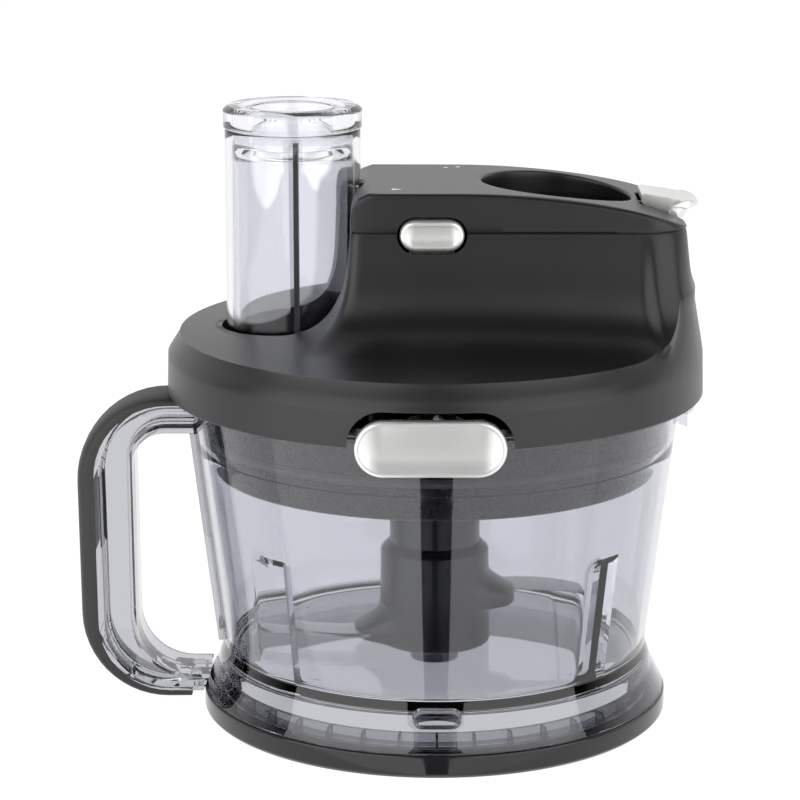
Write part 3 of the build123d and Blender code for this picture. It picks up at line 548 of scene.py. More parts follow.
SPINE_LEFT, SPINE_RIGHT = -5.0, 62.0
LEFT_COUNT, RUN_COUNT, RIGHT_COUNT = 90, 40, 110
left_fan = np.linspace(np.pi / 2, 3 * np.pi / 2, LEFT_COUNT)
right_fan = np.linspace(-np.pi / 2, np.pi / 2, RIGHT_COUNT)
run = np.linspace(SPINE_LEFT, SPINE_RIGHT, RUN_COUNT + 2)[1:-1]
ray_x = np.concatenate([np.full(LEFT_COUNT, SPINE_LEFT), run, np.full(RIGHT_COUNT, SPINE_RIGHT), run[::-1]])
sideways = np.full(RUN_COUNT, np.pi / 2)
ray_angle = np.concatenate([left_fan, -sideways, right_fan, sideways])
print("lid stations:", len(ray_x))


# %% Cover surface
def cover_grid():
    """Each station's profile. With the gap between wall and shoulder, a point at distance d from the wall is
    higher than the dome by rise * (1 - sqrt(d / reach))^2, so the flare leaves the wall upright and meets the
    dome level. Below the shoulder the profile follows the line from the housing's top edge to the band."""
    ex, ey = np.cos(ray_angle), np.sin(ray_angle)
    top = reach_outline(ray_x, 0 * ray_x, ex, ey)
    shoulder = reach_circle(ray_x, 0 * ray_x, ex, ey, SHOULDER_R)
    band = reach_circle(ray_x, 0 * ray_x, ex, ey, LID_R)
    room = np.maximum(shoulder - top - WALL_DRAFT, 0)
    share = np.clip(room / NEAR_GAP, 0, 1)
    near = (1 - share**2 * (3 - 2 * share)) * (room < NEAR_GAP)
    slant = (band - top) * DRAFT_HEIGHT / SLANT_HEIGHT
    draft = np.minimum(WALL_DRAFT + near * (slant - WALL_DRAFT), MAX_DRAFT)

    def envelope(z):
        """Outermost line: slanted between the housing's top edge and the band, then down the band."""
        upper = band + (top - band) * (z - BAND_TOP) / (PARTING - BAND_TOP)
        return np.where(z > BAND_TOP, upper, band + BAND_SLOPE * (BAND_TOP - z))

    d = np.maximum(room, LEAST_GAP) * np.linspace(0, 1, 26)[:, None] ** 2
    rise = FLARE_RISE * (1 - np.sqrt(np.minimum(d / FLARE_REACH, 1))) ** 2
    first = top + draft + d
    radius = np.hypot(ray_x + first * ex, first * ey)
    flare_z = dome(np.minimum(radius, SHOULDER_R)) + rise
    flare_t = top + draft * (PARTING - flare_z) / DRAFT_HEIGHT + d
    wall_top = PARTING - 0.7
    wall_z = wall_top + (flare_z[0] - wall_top) * np.linspace(0, 1, 8)[1:-1, None]
    wall_t = top + draft * (PARTING - wall_z) / DRAFT_HEIGHT
    edge_t, edge_z = np.stack([top - 0.55, top]), np.stack([PARTING + 0 * top, wall_top + 0 * top])
    start_t, start_z = flare_t[-1], flare_z[-1]
    lifted = np.clip((start_z - SHOULDER_Z) / 6, 0, 1)
    end_z = start_z - SHOULDER_DROP + 0.6 * lifted
    control_z = start_z - 0.7
    control_t = np.maximum(envelope(control_z + 0.4), start_t)
    f = np.linspace(0, 1, 9)[1:, None]
    turn_t = bend(start_t, control_t, envelope(end_z), f)
    turn_z = bend(start_z, control_z, end_z, f)
    band_z = end_z + (LID_BOTTOM + 0.5 - end_z) * np.linspace(0, 1, 8)[1:, None]
    foot_z = np.full_like(top, LID_BOTTOM)
    t = np.concatenate([edge_t, wall_t, flare_t, turn_t, envelope(band_z), envelope(foot_z)[None] - 0.5])
    z = np.concatenate([edge_z, wall_z, flare_z, turn_z, band_z, foot_z[None]])
    return np.stack([ray_x + t * ex, t * ey, z], -1).transpose(1, 0, 2)


def upright_cylinder(x, radius, low, high, count=128):
    """Plain cylinder used to cut."""
    return upright_prism("tool", circle(radius, count) + (x, 0), low, high)


shape = cover_grid()
cover = finish_mesh(surface("lid_shell", shape, True, False), 30.0)
outer = surface("outer_shape", shape, True, False)
fill = bmesh.new()
fill.from_mesh(outer.data)
bmesh.ops.holes_fill(fill, edges=[e for e in fill.edges if e.is_boundary])
bmesh.ops.recalc_face_normals(fill, faces=fill.faces)
fill.to_mesh(outer.data)
fill.free()
apply(cover, "SOLIDIFY", thickness=2.5 * MM, offset=-1, use_even_offset=True, thickness_clamp=2.0)

# %% [markdown]
# The tube passes through a round hole with a collar. The collar is a plain ring that is kept
# only where it lies inside the cover's outer shape, so it ends flush with any slope. The other
# openings are arches for the latches, slots for the buttons and a gap for the lever.

# %% Tube collar and openings
TUBE_HOLE_R, COLLAR_R, COLLAR_LOW, COLLAR_HIGH = 26.3, 28.6, 122.0, 199.0
TUBE_CUT = (110.0, 210.0)
collar_box = [
    (TUBE_HOLE_R, COLLAR_LOW), (COLLAR_R, COLLAR_LOW), (COLLAR_R, COLLAR_HIGH), (TUBE_HOLE_R, COLLAR_HIGH),
]
collar = lathe("collar", densify(collar_box, 3.0), (TUBE_X, 0), 128)
apply(collar, "BOOLEAN", object=outer, operation="INTERSECT", solver="EXACT")
bpy.data.objects.remove(outer)
cut(cover, upright_cylinder(TUBE_X, TUBE_HOLE_R, *TUBE_CUT))
LATCH_Z, LATCH_ARCH = 121.7, (57.0, 24.8)
RELEASE_X, RELEASE_Z, RELEASE_SLOT = -1.6, 183.3, (24.8, 13.1)
LEVER_GAP_HALF, LEVER_GAP_END = 12.4, 95.0


def release_slot(side):
    """Cutter for one release button's slot."""
    return front_prism("slot", stadium(*RELEASE_SLOT), (RELEASE_X, RELEASE_Z), side * 27.0, side * 46.0)


def lever_gap(start, low, high):
    """Cutter for the gap that the lever stands in."""
    h, e = LEVER_GAP_HALF, LEVER_GAP_END
    return upright_prism("gap", np.array([(start, -h), (e, -h), (e, h), (start, h)]), low, high)


for side in (-1, 1):
    cut(cover, front_prism("arch", stadium(*LATCH_ARCH), (LATCH_X, LATCH_Z), side * 82.0, side * 104.0))
    cut(cover, release_slot(side))
cut(cover, lever_gap(83.0, 179.5, 190.0))
join(cover, collar)
finish_mesh(cover, 34.0)
place(cover, "lid", "lid_plastic", "lid_cover")

# %% [markdown]
# ## Top cover
# The top is a second moulding, so a fine line shows where it meets the housing. Its stations
# fan out from the socket's axis: each starts at the parting line, rounds over the edge, follows
# the top's side profile in to the socket's rim and goes down its collar. A bevelled box could be
# bent to shape, but its bevel would thin out at the sloping end, where the rows here stay even.

# %% Top cover surface
SOCKET_COLLAR_FOOT, EDGE_R, LINE = 188.6, 2.2, PARTING + 0.04


def top_height(x):
    """Side profile: level, then falling by the second and eighth powers of the distance. Its left end is
    rounded by a quarter circle."""
    u = np.clip((x - 8) / 82, 0, 1)
    left = np.clip(-22.5 - x, 0, 7.9)
    return TOP_Z - 10.4 * u**2 - 3.2 * u**8 - (8 - np.sqrt(64 - left**2))


def top_grid(count=300):
    """From the outline's foot up to the edge, over a small quarter round, in to the socket and down its
    collar. The stations crowd towards the corners by a sine of twice their angle."""
    even = np.linspace(0, 2 * np.pi, count, endpoint=False)
    angle = even + 0.14 * np.sin(2 * even)
    ex, ey = np.cos(angle), np.sin(angle)
    edge = reach_outline(np.full(count, SOCKET_X), 0 * ex, ex, ey)
    edge_top = top_height(SOCKET_X + edge * ex)
    round_r = np.clip((edge_top - PARTING) * 0.45, 0.05, EDGE_R)
    inner = SOCKET_R + 1.0
    rim = top_height(SOCKET_X + inner * ex)
    rows_t = [edge - 0.55, edge]
    rows_z = [LINE + 0 * edge, LINE + np.minimum(0.7, (edge_top - PARTING) * 0.3)]
    for f in np.linspace(0.25, 1, 4):
        rows_t.append(edge)
        rows_z.append(PARTING + 0.74 + (edge_top - round_r - PARTING - 0.74) * f)
    for a in np.linspace(0, np.pi / 2, 7)[1:]:
        t = edge - round_r * (1 - np.cos(a))
        rows_t.append(t)
        rows_z.append(top_height(SOCKET_X + t * ex) - round_r * (1 - np.sin(a)))
    for f in np.linspace(0, 1, 15)[1:]:
        t = (edge - round_r) * (1 - f) + inner * f
        rows_t.append(t)
        rows_z.append(top_height(SOCKET_X + t * ex))
    for a in np.linspace(0, np.pi / 2, 5)[1:]:
        rows_t.append(inner - np.sin(a) + 0 * edge)
        rows_z.append(rim - (1 - np.cos(a)))
    for f in np.linspace(0, 1, 5)[1:]:
        rows_t.append(SOCKET_R + 0 * edge)
        rows_z.append((rim - 1) * (1 - f) + SOCKET_COLLAR_FOOT * f)
    t, z = np.array(rows_t), np.maximum(rows_z, LINE)
    return np.stack([SOCKET_X + t * ex, t * ey, z], -1).transpose(1, 0, 2)


top = finish_mesh(surface("top_shell", top_grid(), True, False), 32.0)
apply(top, "SOLIDIFY", thickness=2.0 * MM, offset=-1, thickness_clamp=1.0)
cut(top, upright_cylinder(TUBE_X, TUBE_HOLE_R, *TUBE_CUT))
for side in (-1, 1):
    cut(top, release_slot(side))
cut(top, lever_gap(72.8, 180.0, 205.0))
finish_mesh(top, 34.0)
place(top, "lid", "lid_plastic", "top_cover")

# %% [markdown]
# ## Latches, release buttons and lever
# These are hard satin-silver mouldings. Each latch is a long pad that is slightly hollow inside
# a bright raised rim, and the release buttons are the same idea on a smaller scale. Extruded
# and bevelled outlines would leave flat faces, which satin metal shows at once. A height field
# over nested copies of one outline gives both the round edge and the hollow.

# %% Pads and buttons
LATCH_SIZE, LATCH_FACE, LATCH_DEPTH = (51.6, 19.4), 98.9, 3.4
RELEASE_SIZE, RELEASE_FACE, RELEASE_DEPTH = (22.8, 11.1), 36.4, 5.2
# Catch under the rim, then the two arms: from and to in x, in z and in distance from the middle.
HOOKS = [
    (-10, 10, 113.1, 120.5, 93.0, 95.6),
    (-16, -12, 128.2, 129.8, 87.5, 95.7),
    (12, 16, 128.2, 129.8, 87.5, 95.7),
]


def nested_pad(name, size, centre, face_y, side, depth, rim, hollow):
    """Nested stadiums. The edge is a quarter round, the rim a crest, and inside it the face sinks to the
    hollow by one minus a power of the share that is left of the way in. Depth goes back from the face."""
    width, height = size
    quarter = np.linspace(0, np.pi / 2, 7)
    face = np.linspace(rim, height / 2 - 0.05, 14)[1:]
    inset = np.concatenate([[0, 0], rim * (1 - np.cos(quarter)), face])
    back = np.concatenate([[depth, rim + 1.0], rim * (1 - np.sin(quarter)), 0 * face])
    inner = np.clip((inset - rim) / (height / 2 - rim), 0, 1)
    back = back + hollow * (1 - (1 - inner) ** 2.2) * (inset > rim)
    rows = []
    for i, b in zip(inset, back):
        x, z = stadium(width - 2 * i, height - 2 * i, 22).T
        rows.append(np.c_[centre[0] + x, np.full(len(x), side * (face_y - b)), centre[1] + z])
    return loft_rows(name, np.array(rows), 40.0)


for side, word in ((-1, "front"), (1, "rear")):
    pad = nested_pad(
        f"latch_pad_{word}", LATCH_SIZE, (LATCH_X, LATCH_Z), LATCH_FACE, side, LATCH_DEPTH, 1.2, 1.3
    )
    hooks = []
    for x0, x1, z0, z1, y0, y1 in HOOKS:
        outline = rounded([(x0, z0), (x1, z0), (x1, z1), (x0, z1)], [0.4] * 4, 4)
        hooks.append(front_prism("hook", outline, (0.0, 0.0), side * y0, side * y1))
    finish_mesh(join(pad, *hooks), 40.0)
    place(pad, f"latch_{word}", "satin_silver", f"latch_{word}")
    button = nested_pad(
        f"release_button_{word}", RELEASE_SIZE, (RELEASE_X, RELEASE_Z), RELEASE_FACE,
        side, RELEASE_DEPTH, 1.6, 0.55,
    )
    place(button, f"release_{word}", "satin_silver", f"release_{word}")

# %% [markdown]
# The springs behind them are coils of wire. A curve object with a bevel could show them, but a
# small circle carried along a helix is closed at both ends by the same loft as everything else.
# Each spring gets a mesh of its own. A real spring shortens towards its inner end when pressed.

# %% Springs
def coil_spring(name, coils=5.0, wire=0.3):
    """Helix whose radius, length and place fill the CAD spring's box, with a round wire section."""
    low, high = node_box(name)
    middle, length = (low + high) / 2, high[1] - low[1] - 2 * wire
    radius = (high[0] - low[0]) / 2 - wire
    u = np.linspace(0, 1, int(coils * 28))[:, None]
    v = np.linspace(0, 2 * np.pi, 9)[None, :-1]
    turn_u = 2 * np.pi * coils * u
    r = radius + wire * np.cos(v)
    y = low[1] + wire + length * u + wire * np.sin(v)
    rows = np.stack([middle[0] + r * np.cos(turn_u), y, middle[2] + r * np.sin(turn_u)], -1)
    spring = loft_rows(f"coil_{name}", rows, 80.0)
    place(spring, "lid", "steel", name)
    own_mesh(spring)


for word in ("front", "rear"):
    coil_spring(f"latch_spring_{word}")
    coil_spring(f"release_spring_{word}")

# %% [markdown]
# ## Feed tube and pusher
# Both are clear. The pusher stands inside the tube with its own flange, and its stepped top
# rings surround a measuring cup, so four walls lie one behind the other. Thin cylinders with a
# see-through shader would look like paper, so each is a turned profile with real thickness.

# %% Tube and pusher profiles
TUBE_R, TUBE_BORE, TUBE_FOOT, PUSHER_R = 24.5, 22.4, 92.0, 21.8
tube_corners = [(TUBE_BORE, TUBE_FOOT), (TUBE_R, TUBE_FOOT), (TUBE_R, TUBE_TOP), (TUBE_BORE, TUBE_TOP)]
tube_profile = densify(rounded(tube_corners, [0.4, 0.4, 0.9, 0.9], 5), 3.0)
tube = lathe("feed_chute", tube_profile, (TUBE_X, 0), 144, 40.0)
place(tube, "lid", "bright_clear", "feed_tube")

pusher_corners = [
    (0.0, 101), (20.2, 101), (PUSHER_R, 103.2), (PUSHER_R, 216.8), (25.0, 216.8), (25.2, 223.6),
    (23.2, 225), (19.4, 225), (18.6, 223.4), (16.4, 223.4), (15.6, 224.4), (14.6, 224.4), (14.6, 211),
    (19.8, 206.6), (19.8, 104), (0.0, 104),
]
pusher_radii = [0, 0.8, 2.0, 0.4, 0.6, 1.2, 1.2, 0.5, 0.5, 0.5, 0.4, 0.4, 3.0, 2.5, 2.0, 0]
pusher = lathe("pusher_cup", densify(rounded(pusher_corners, pusher_radii, 5), 3.0), (TUBE_X, 0), 144, 40.0)
place(pusher, "pusher", "bright_clear", "pusher")

# %% [markdown]
# ## Handle
# The clear handle is an I-section: two flanges joined by a thin web, which is how a thick grip
# is moulded without sink marks. A dark soft grip is moulded over its outside. A bevelled curve
# has one section all the way, but here the depth changes towards the ends, so both are sections
# carried along two matching paths, one at each edge of the section.

# %% Handle paths
def open_path(corners, radii, steps=12, run=16):
    """Open path with arcs at its corners and a fixed number of points on every run, so that two such paths
    can be matched point by point."""
    arcs = rounded(corners, radii, steps, False).reshape(len(corners), steps, 2)
    parts = [arcs[0][:1]]
    f = np.linspace(0, 1, run)[1:, None]
    for a, b in zip(arcs[:-1], arcs[1:]):
        start = a[-1] if a is not arcs[0] else a[0]
        parts.append(start * (1 - f) + b[0] * f)
        parts.append(b[1:])
    return np.concatenate(parts[:-1])


def carried(name, outer, inner, section, sharp=40.0):
    """Section of (across, along) points carried between two paths: across is Y in millimetres, along is the
    share of the way from the inner path to the outer one."""
    y = section[..., 0] + 0 * outer[:, :1]
    share = section[..., 1] + 0 * outer[:, :1]
    xz = inner[:, None] * (1 - share[..., None]) + outer[:, None] * share[..., None]
    return loft_rows(name, np.stack([xz[..., 0], y, xz[..., 1]], -1), sharp)


# %% Clear handle
clear_outer = open_path([(-89.3, 116.3), (-125.4, 116.3), (-124.2, 7.6), (-85.9, 7.6)], [0, 27, 26, 0])
clear_inner = open_path([(-88.1, 106), (-111, 106), (-110.2, 14), (-83.4, 14)], [0, 12, 20, 0])
depth = np.linalg.norm(clear_outer - clear_inner, axis=1)[:, None]
half = np.array([12, 12, 11.6, 2.2, 1.6, 1.6, 2.2, 11.6, 12, 12], float)
from_inner = np.array([0, 1.6, 2.0, 2.5, 3.2, -3.2, -2.6, -2.2, -1.8, 0], float)
level = np.where(np.arange(10) < 5, from_inner / depth, 1 + from_inner / depth)
web = np.stack([half + 0 * level, level], -1)
section = np.concatenate([web, (web * (-1, 1))[:, ::-1]], 1)
handle = carried("clear_handle", clear_outer, clear_inner, section)

plate_z = np.linspace(27.0, 105.6, 20)[:, None]
plate_r = wall_radius(plate_z)
side_angle = np.linspace(-1, 1, 9)[None, :] * np.arcsin(11.0 / plate_r)


def plate_rows(offset, order):
    """One face of the mounting plate, which follows the bowl's wall."""
    a = side_angle[:, ::order]
    return np.stack([-(plate_r + offset) * np.cos(a), (plate_r + offset) * np.sin(a), plate_z + 0 * a], -1)


plate = loft_rows("plate", np.concatenate([plate_rows(0.05, 1), plate_rows(2.4, -1)], 1), 40.0)
finish_mesh(join(handle, plate), 38.0)
place(handle, "bowl", "smoky_clear", "bowl_handle")
handle.data.materials[0] = FINISH["handle_clear"]

# %% [markdown]
# The grip's section is a flattened half round: powers of the sine and cosine below one push
# the half circle out towards its corners, which fills the hand better than a true half circle.

# %% Grip
grip_outer = open_path([(-89.5, 119.6), (-132.3, 120), (-130.9, 4), (-90.5, 4.4)], [0, 33, 32, 0], 14)
grip_inner = open_path([(-89.5, 116.4), (-125.4, 116.4), (-124.2, 7.5), (-90.5, 7.5)], [0, 27, 26, 0], 14)
theta = np.linspace(0, np.pi, 31)
across = 12.2 * np.sign(np.cos(theta)) * np.abs(np.cos(theta)) ** 0.6
along = 0.22 * np.minimum(1, np.sin(theta) * 9) + 0.78 * np.sin(theta) ** 0.8
grip_section = np.stack([across, along], -1)[None] + 0 * grip_outer[:, None, :1]
grip = carried("soft_handle_grip", grip_outer, grip_inner, grip_section, 50.0)
place(grip, "bowl", "soft_grip", "handle_grip")

# %% [markdown]
# ## Base
# Under the bowl sits a clear ring with thin upright ribs that catch the light as a row of
# ticks, three pill-shaped lock tabs that show through slots in the skirt, and the dark foot.
# An array modifier could repeat the ribs, but a loop lets them join the ring as one moulding.

# %% Base ring, ribs and tabs
RIB_COUNT, TAB_AZIMUTHS, TAB_Z = 38, (-90, 30, 150), 20.0


def directions(azimuth):
    """Unit vectors that point out along an azimuth and sideways from it."""
    a = radians(azimuth)
    return np.array([np.cos(a), np.sin(a), 0]), np.array([-np.sin(a), np.cos(a), 0])


def radial_rows(azimuth, outline, radii):
    """Rows of one upright outline, each scaled by its share, at several distances out along an azimuth."""
    out, side = directions(azimuth)
    up = np.array([0, 0, 1.0])
    x, z = outline[:, :1], outline[:, 1:]
    return np.stack([r * out + (s * x) * side + (TAB_Z + s * z) * up for r, s in radii])


ring_corners = [(72, 7.4), (83.4, 7.4), (83.0, 8.8), (77.5, 8.8), (77.3, 14), (76, 14), (76, 8.8), (72, 8.8)]
ring_profile = rounded(ring_corners, [0.3] * 8, 4)
ring = lathe("clear_base_ring", densify(ring_profile, 2.5), count=180, sharp=40.0)
extras = []
for index in range(RIB_COUNT):
    out, side = directions(-90 + index * 360 / RIB_COUNT)
    flat = np.array([(77.0, 8.5), (82.4, 8.5), (81.2, 10.6), (79.7, 13.6), (77.0, 13.8)])
    face = flat[:, :1] * out + np.c_[0 * flat, flat[:, 1:]]
    extras.append(loft_rows(f"rib{index}", np.stack([face - 0.45 * side, face + 0.45 * side]), 30.0))
for azimuth in TAB_AZIMUTHS:
    bulge = [(76.0, 1.0), (80.9, 1.0), (81.3, 0.96), (81.5, 0.9), (80.9, 0.82), (80.9, 0.4)]
    extras.append(loft_rows(f"tab{azimuth}", radial_rows(azimuth, stadium(16.4, 5.6), bulge), 40.0))
finish_mesh(join(ring, *extras), 38.0)
place(ring, "bowl", "smoky_clear", "base_ring")

# %% Foot
foot_corners = [
    (78, 0), (84.6, 0), (FOOT_R, 1.4), (FOOT_R, 8.4), (83.5, 8.4), (83.5, 7.4), (78, 7.4),
]
foot_profile = rounded(foot_corners, [0.4, 0.8, 1.2, 0.7, 0.3, 0.2, 0.4], 5)
foot = lathe("soft_foot", densify(foot_profile, 2.5), count=200, sharp=40.0)
place(foot, "bowl", "foot_rubber", "foot_ring")

# %% [markdown]
# The skirt has a slot over each lock tab, and two small lugs stand out of the bowl under the
# lid's right end. Modelling the slots into the turned profile isn't possible, because they aren't
# round, so they are cut with booleans, and the lugs are added as shells of the same moulding.

# %% Slots in the skirt and lugs under the lid
for azimuth in TAB_AZIMUTHS:
    cut(bowl, loft_rows("slot", radial_rows(azimuth, stadium(17.2, 6.4), [(78.2, 1.0), (92.0, 1.0)])))
disc = front_prism("disc", circle(3.2), (92.2, 114.0), -1.0, 1.0)
lug_corners = [(92.4, 107), (92.4, 121.4), (89.6, 121.4), (88.0, 112), (88.6, 108.6)]
lug_outline = rounded(lug_corners, [0.4, 0.3, 0.3, 1.0, 2.0], 5)
lug = front_prism("lug", lug_outline, (0.0, 0.0), -6.0, -4.0)
finish_mesh(join(bowl, disc, lug), 28.0)

# %% [markdown]
# ## Gear tray and blade
# The drum under the lid closes the gear case, and carries a boss for the gears' axle and two
# blocks behind the latches. It is a turned profile, since all that shows is round.

# %% Gear tray
DECK_TOP, BOSS_TOP, BLOCK_Y, BLOCK_HALF = 94.0, 124.0, 84.9, (6, 2.3)
tray_corners = [
    (8, 92), (81, 92), (81, 104), (85.3, 104), (85.3, 105), (83.6, 105), (83.6, 108), (85.3, 108),
    (85.3, 124.4), (92.6, 124.4), (92.6, 127), (81.6, 127), (81.6, 106), (79, 106), (79, DECK_TOP),
    (11, DECK_TOP), (11, 108), (8, 108),
]
tray_radii = [0.2, 2.2, 0.5, 0.6, 0.2, 0.2, 0.2, 0.2, 0.5, 0.4, 0.4, 0.5, 0.3, 0.3, 1.0, 0.4, 0.3, 0.3]
tray = lathe("drum", densify(rounded(tray_corners, tray_radii, 5), 4.0), count=192, sharp=35.0)
cut(tray, upright_cylinder(TUBE_X, TUBE_R, 80.0, 100.0))
blocks = []
for side in (-1, 1):
    block = np.array([(-1, -1), (1, -1), (1, 1), (-1, 1)]) * BLOCK_HALF + (0, side * BLOCK_Y)
    blocks.append(upright_prism("block", block, 125.0, 133.0))
boss_rows = [
    np.c_[circle(radius) + (AXLE_X, AXLE_Y), np.full(40, z)]
    for radius, z in ((2, DECK_TOP), (5, DECK_TOP), (5, BOSS_TOP), (2, BOSS_TOP))
]
boss = finish_mesh(surface("boss", np.array(boss_rows)), 35.0)
finish_mesh(join(tray, boss, *blocks), 35.0)
place(tray, "lid", "tray_plastic", "gear_tray")

# %% [markdown]
# The blade's hub has two flared shoulders, one high and one low, and each holds a curved
# blade. Joining separate wings to a cylinder leaves creases, so the flare is added to the radius.

# %% Blade hub
WING_REACH, BELL_WIDTH = 9.4, 34
# Azimuth of each shoulder, then the heights of its foot, crest and top.
SHOULDERS = ((0.0, 38.6, 45.4, 53.0), (np.pi, 25.6, 31.4, 40.0))


def hub_grid(count=144):
    """Profile about the axis with two shoulders. A shoulder's reach is a bell about its azimuth times a
    height curve that swells slowly from above and ends sharply at its foot, like a propeller's root."""
    corners = [
        (5.0, 25.6), (5.6, 25), (20.6, 25), (20.0, 60.6), (17.6, 63), (6.2, 63), (6.2, 54.6), (5.0, 54),
    ]
    profile = densify(rounded(corners, [0.1, 0.1, 0.8, 2.0, 0.8, 0.4, 0.2, 0.1], 5), 1.1)
    angle = np.linspace(-np.pi, np.pi, count, endpoint=False)[:, None]
    r, z = profile[None, :, 0], profile[None, :, 1]
    reach = 0.0
    for azimuth, foot_z, crest_z, top_z in SHOULDERS:
        off = np.degrees(np.angle(np.exp(1j * (angle - azimuth))))
        bell = np.exp(-((np.abs(off) / BELL_WIDTH) ** 3))
        above = np.clip((top_z - z) / (top_z - crest_z), 0, 1) ** 1.7
        below = np.clip((z - foot_z) / 1.6, 0, 1) ** 0.5
        reach = np.maximum(reach, bell * above * below * WING_REACH)
    radius = r + np.where(r > 16, reach, 0)
    return np.stack([radius * np.cos(angle), radius * np.sin(angle), z + 0 * radius], -1)


hub = finish_mesh(surface("flared_hub", hub_grid()), 45.0)
place(hub, "blade", "hub_plastic", "blade_hub")


# %% Blades
def through(start, middle, end, f):
    """Curve from start to end that passes its middle point half way: a quadratic whose control point is twice
    the middle less the mean of the ends."""
    start, middle, end = (np.array(p, float) for p in (start, middle, end))
    return bend(start, 2 * middle - (start + end) / 2, end, f)


def blade_mesh(name, z, turned):
    """Curved blade: flat by its back, ground to a thin edge along its hollow side."""
    f = np.linspace(0, 1, 60)[:, None]
    back = through((12, 8), (44, 10), (66, -15), f)
    edge = through((12, -8), (40, -3.5), (65.2, -15.4), f)
    share = np.array([0, 0.02, 0.3, 0.6, 1.0, 1.0, 0.6, 0.3, 0.02, 0])
    high = np.array([0.5, 0.8, 0.8, 0.8, 0.06, -0.06, -0.35, -0.8, -0.8, -0.5])
    xy = back[:, None] * (1 - share[None, :, None]) + edge[:, None] * share[None, :, None]
    rows = np.concatenate([xy * turned, (z + high)[None, :, None] + 0 * xy[..., :1]], -1)
    return loft_rows(name, rows, 18.0)


upper = blade_mesh("upper_scimitar", 44.5, 1.0)
lower = blade_mesh("lower_scimitar", 29.5, -1.0)
place(upper, "blade", "blade_steel", "upper_blade")
place(lower, "blade", "blade_steel", "lower_blade")

# %% [markdown]
# A dark tapered bar inside the pusher's front wall is a painted reflection: it stands in for the dark upright
# stripe that the clear walls mirror. It could be a line in a material, but a line has no depth, and a plain
# tapered bar is enough for what is seen through clear plastic.

# %% Dark bar in the pusher: a painted reflection stripe
STRIPE_X, STRIPE_OUT, STRIPE_IN = TUBE_X + 1.8, -21.6, -20.2
stripe_outline = [(STRIPE_X - 1.0, STRIPE_OUT), (STRIPE_X + 1.0, STRIPE_OUT), (STRIPE_X + 0.8, STRIPE_IN), (STRIPE_X - 0.8, STRIPE_IN)]
# Painted reflection: this dark bar inside the clear wall stands in for the dark upright stripe that the walls
# mirror.
rib = upright_prism("painted_reflection_stripe", np.array(stripe_outline), 106.0, 214.0)
place(rib, "pusher", "seal_rubber")

# %% [markdown]
# ## Lever
# The lever is a small scoop: its top is hollow across its width, it widens a little towards
# the lip and its tip is rounded in plan. A sculpted box would do, but one side outline repeated
# across the width, and changed a little by formula at each place, keeps both sides alike.

# %% Lever
lever_corners = [
    (73.8, 191.4), (73.8, 194.5), (91.4, 192.2), (94.8, 192.3), (94.6, 189.6), (91.6, 188.4), (89.6, 185.4),
    (84.6, 183.7), (81.2, 186.4),
]
lever_radii = [1.0, 1.0, 8.0, 0.8, 0.9, 1.5, 1.5, 2.5, 2.0]
lever_outline = densify(rounded(lever_corners, lever_radii, 6), 1.2)
LEVER_HALF = 12.0
lever_rows = []
for y in LEVER_HALF * np.sin(np.linspace(-np.pi / 2, np.pi / 2, 31)):
    s = abs(y) / LEVER_HALF
    x, z = lever_outline[:, 0], lever_outline[:, 1]
    hollow = 1.3 * (1 - s**2) * np.clip((z - 189.5) / 2.0, 0, 1) * np.clip((x - 74) / 8, 0, 1)
    pulled = x - 4.2 * s**4 * np.clip((x - 84) / 8, 0, 1)
    narrow = 1 - 0.14 * np.clip((90 - x) / 16, 0, 1)
    edge = 0.5 * np.clip((s - 0.94) / 0.06, 0, 1)
    lever_rows.append(np.c_[pulled, y * narrow, z - hollow - edge * np.sign(z - 189)])
lever = loft_rows("lever_scoop", np.array(lever_rows), 50.0)
place(lever, "lever", "satin_silver", "lever")

# %% [markdown]
# An arrow and two dots are printed on the top. They are thin raised shapes rather than a
# texture, so they stay sharp at any distance and need no image.

# %% Arrow and dots on the top
arrow = np.array([(-1.8, -1.6), (1.8, 0), (-1.8, 1.6)])
marks = []
for x, y, outline in ((-14.0, -24.0, arrow), (4.0, 26.0, circle(0.9)), (8.4, 27.4, circle(0.9))):
    marks.append(upright_prism("mark", outline + (x, y), TOP_Z - 0.3, float(top_height(np.array(x))) + 0.06))
mark = join(*marks)
mark.name = "printed_marks"
place(mark, "lid", "satin_silver")

# %% [markdown]
# ## Camera, floor and light
# The object stands on plain white. Two tall softboxes light it from the front left and right.
# Upright glossy walls mirror what lies low in front of them, so two long cards lie there with
# a dark gap between them. They show in reflections only, and draw the dark upright band that
# makes a round glossy part read as round.

# %% Camera
scene = bpy.context.scene
scene.view_settings.view_transform = "Standard"
FOCAL_SHARE = 3.75
CAMERA_X, CAMERA_Y, CAMERA_Z, CAMERA_TILT = -0.0129, -1.074, 0.3695, 0.232
camera_data = bpy.data.cameras.new("camera")
camera_data.sensor_width = 36.0
camera_data.lens = FOCAL_SHARE * camera_data.sensor_width
camera = bpy.data.objects.new("camera", camera_data)
camera.location = (CAMERA_X, CAMERA_Y, CAMERA_Z)
camera.rotation_euler = (radians(90) - CAMERA_TILT, 0, 0)
scene.collection.objects.link(camera)
scene.camera = camera
print("lens", camera_data.lens)


# %% Floor and reflection cards
def card(name, corners, z, colour, glow):
    """Flat four-cornered sheet with its own even glow."""
    p = np.array([(x, y, z) for x, y in corners]) / MM
    obj = surface(name, np.array([[p[0], p[1]], [p[3], p[2]]]), False, False)
    _, shader = new_finish(name, colour, 0.9)
    shader.inputs["Specular IOR Level"].default_value = 0.0
    shader.inputs["Emission Color"].default_value = (1, 1, 1, 1)
    shader.inputs["Emission Strength"].default_value = glow
    obj.data.materials.append(FINISH[name])
    return obj


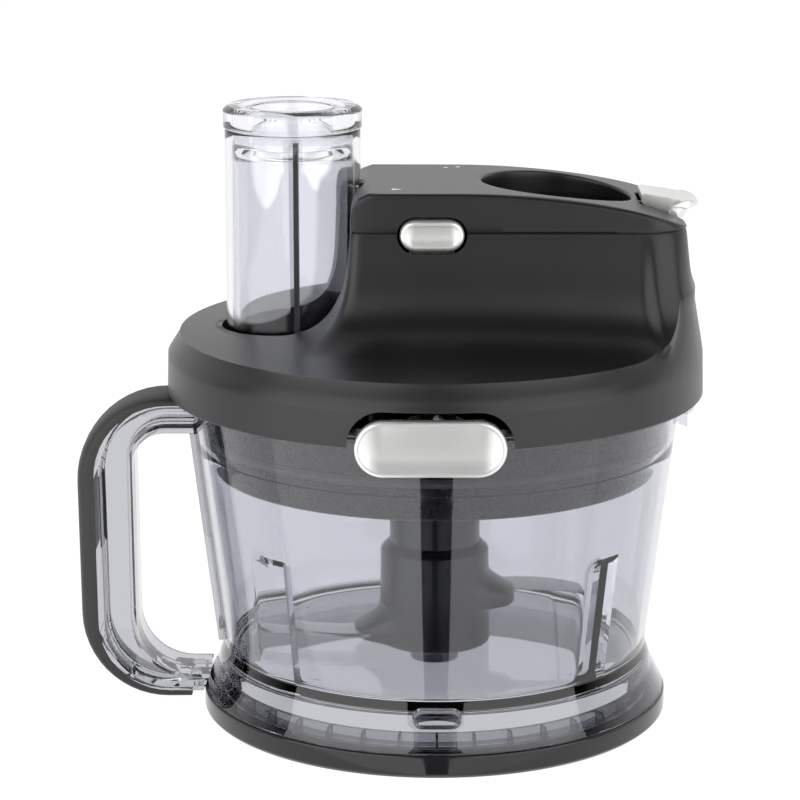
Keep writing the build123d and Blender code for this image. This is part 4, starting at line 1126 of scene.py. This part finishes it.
card("white_floor", [(-14, -14), (14, -14), (14, 14), (-14, 14)], 0.0, (0.12, 0.12, 0.12), 0.98)
NEAR_Y, FAR_Y, NEAR_HALF, FAR_HALF, CARD_HALF = -0.088, -1.4, 0.004, 0.2, 0.95
wedge = [(-FAR_HALF, FAR_Y), (FAR_HALF, FAR_Y), (NEAR_HALF, NEAR_Y), (-NEAR_HALF, NEAR_Y)]
right = [(FAR_HALF, FAR_Y), (CARD_HALF, FAR_Y), (CARD_HALF, NEAR_Y), (NEAR_HALF, NEAR_Y)]
left = [(-x, y) for x, y in right]
cards = [
    card("gap_card", wedge, 0.0006, (0.003, 0.003, 0.003), 0.01),
    card("left_card", left, 0.0006, (0.1, 0.1, 0.1), 1.45),
    card("right_card", right, 0.0006, (0.1, 0.1, 0.1), 1.2),
]
for obj in cards:
    obj.visible_camera = obj.visible_diffuse = obj.visible_shadow = False
print("reflection cards:", [obj.name for obj in cards])

# %% Lamps
def softbox(name, centre, size, target, power):
    """Rectangular lamp that faces a target point."""
    data = bpy.data.lights.new(name, "AREA")
    data.shape, data.size, data.size_y, data.energy = "RECTANGLE", size[0], size[1], power
    lamp = bpy.data.objects.new(name, data)
    lamp.location = centre
    lamp.rotation_euler = (Vector(target) - Vector(centre)).to_track_quat("-Z", "Y").to_euler()
    scene.collection.objects.link(lamp)


softbox("softbox_left", (-0.74, -0.72, 0.46), (1.3, 1.4), (0, 0, 0.12), 12.0)
softbox("softbox_right", (0.74, -0.72, 0.46), (1.3, 1.4), (0, 0, 0.12), 10.5)
print("two softboxes placed")

# %% [markdown]
# Behind the object the surroundings are bright and in front they are dark, as in a studio
# with a lit backdrop. Dark plastic then keeps its depth while clear edges still glow.

# %% Backdrop
world = bpy.data.worlds.new("studio")
scene.world = world
world.use_nodes = True
tree = world.node_tree
where = tree.nodes.new("ShaderNodeTexCoord")
split = tree.nodes.new("ShaderNodeSeparateXYZ")
back = tree.nodes.new("ShaderNodeMapRange")
for socket, value in (("From Min", -0.1), ("From Max", 0.4), ("To Min", 0.02), ("To Max", 1.0)):
    back.inputs[socket].default_value = value
tree.links.new(where.outputs["Generated"], split.inputs["Vector"])
tree.links.new(split.outputs["Y"], back.inputs["Value"])
tree.links.new(back.outputs["Result"], tree.nodes["Background"].inputs["Strength"])
tree.nodes["Background"].inputs["Color"].default_value = (1, 1, 1, 1)
print("world:", world.name)

# %% [markdown]
# Gears, shafts, seals and screws keep their CAD meshes, whose shape is already right. They
# only need a finish, and the record says which one each of them takes. The loop gives one to
# every node, hidden ones too, so that none is left with the frame's plain grey.

# %% Finishes for the CAD nodes that stay
for subpart in frame["record"]["subparts"]:
    mesh = nodes[subpart["node"]].data
    mesh.materials.clear()
    mesh.materials.append(FINISH[subpart["material_slot"]])
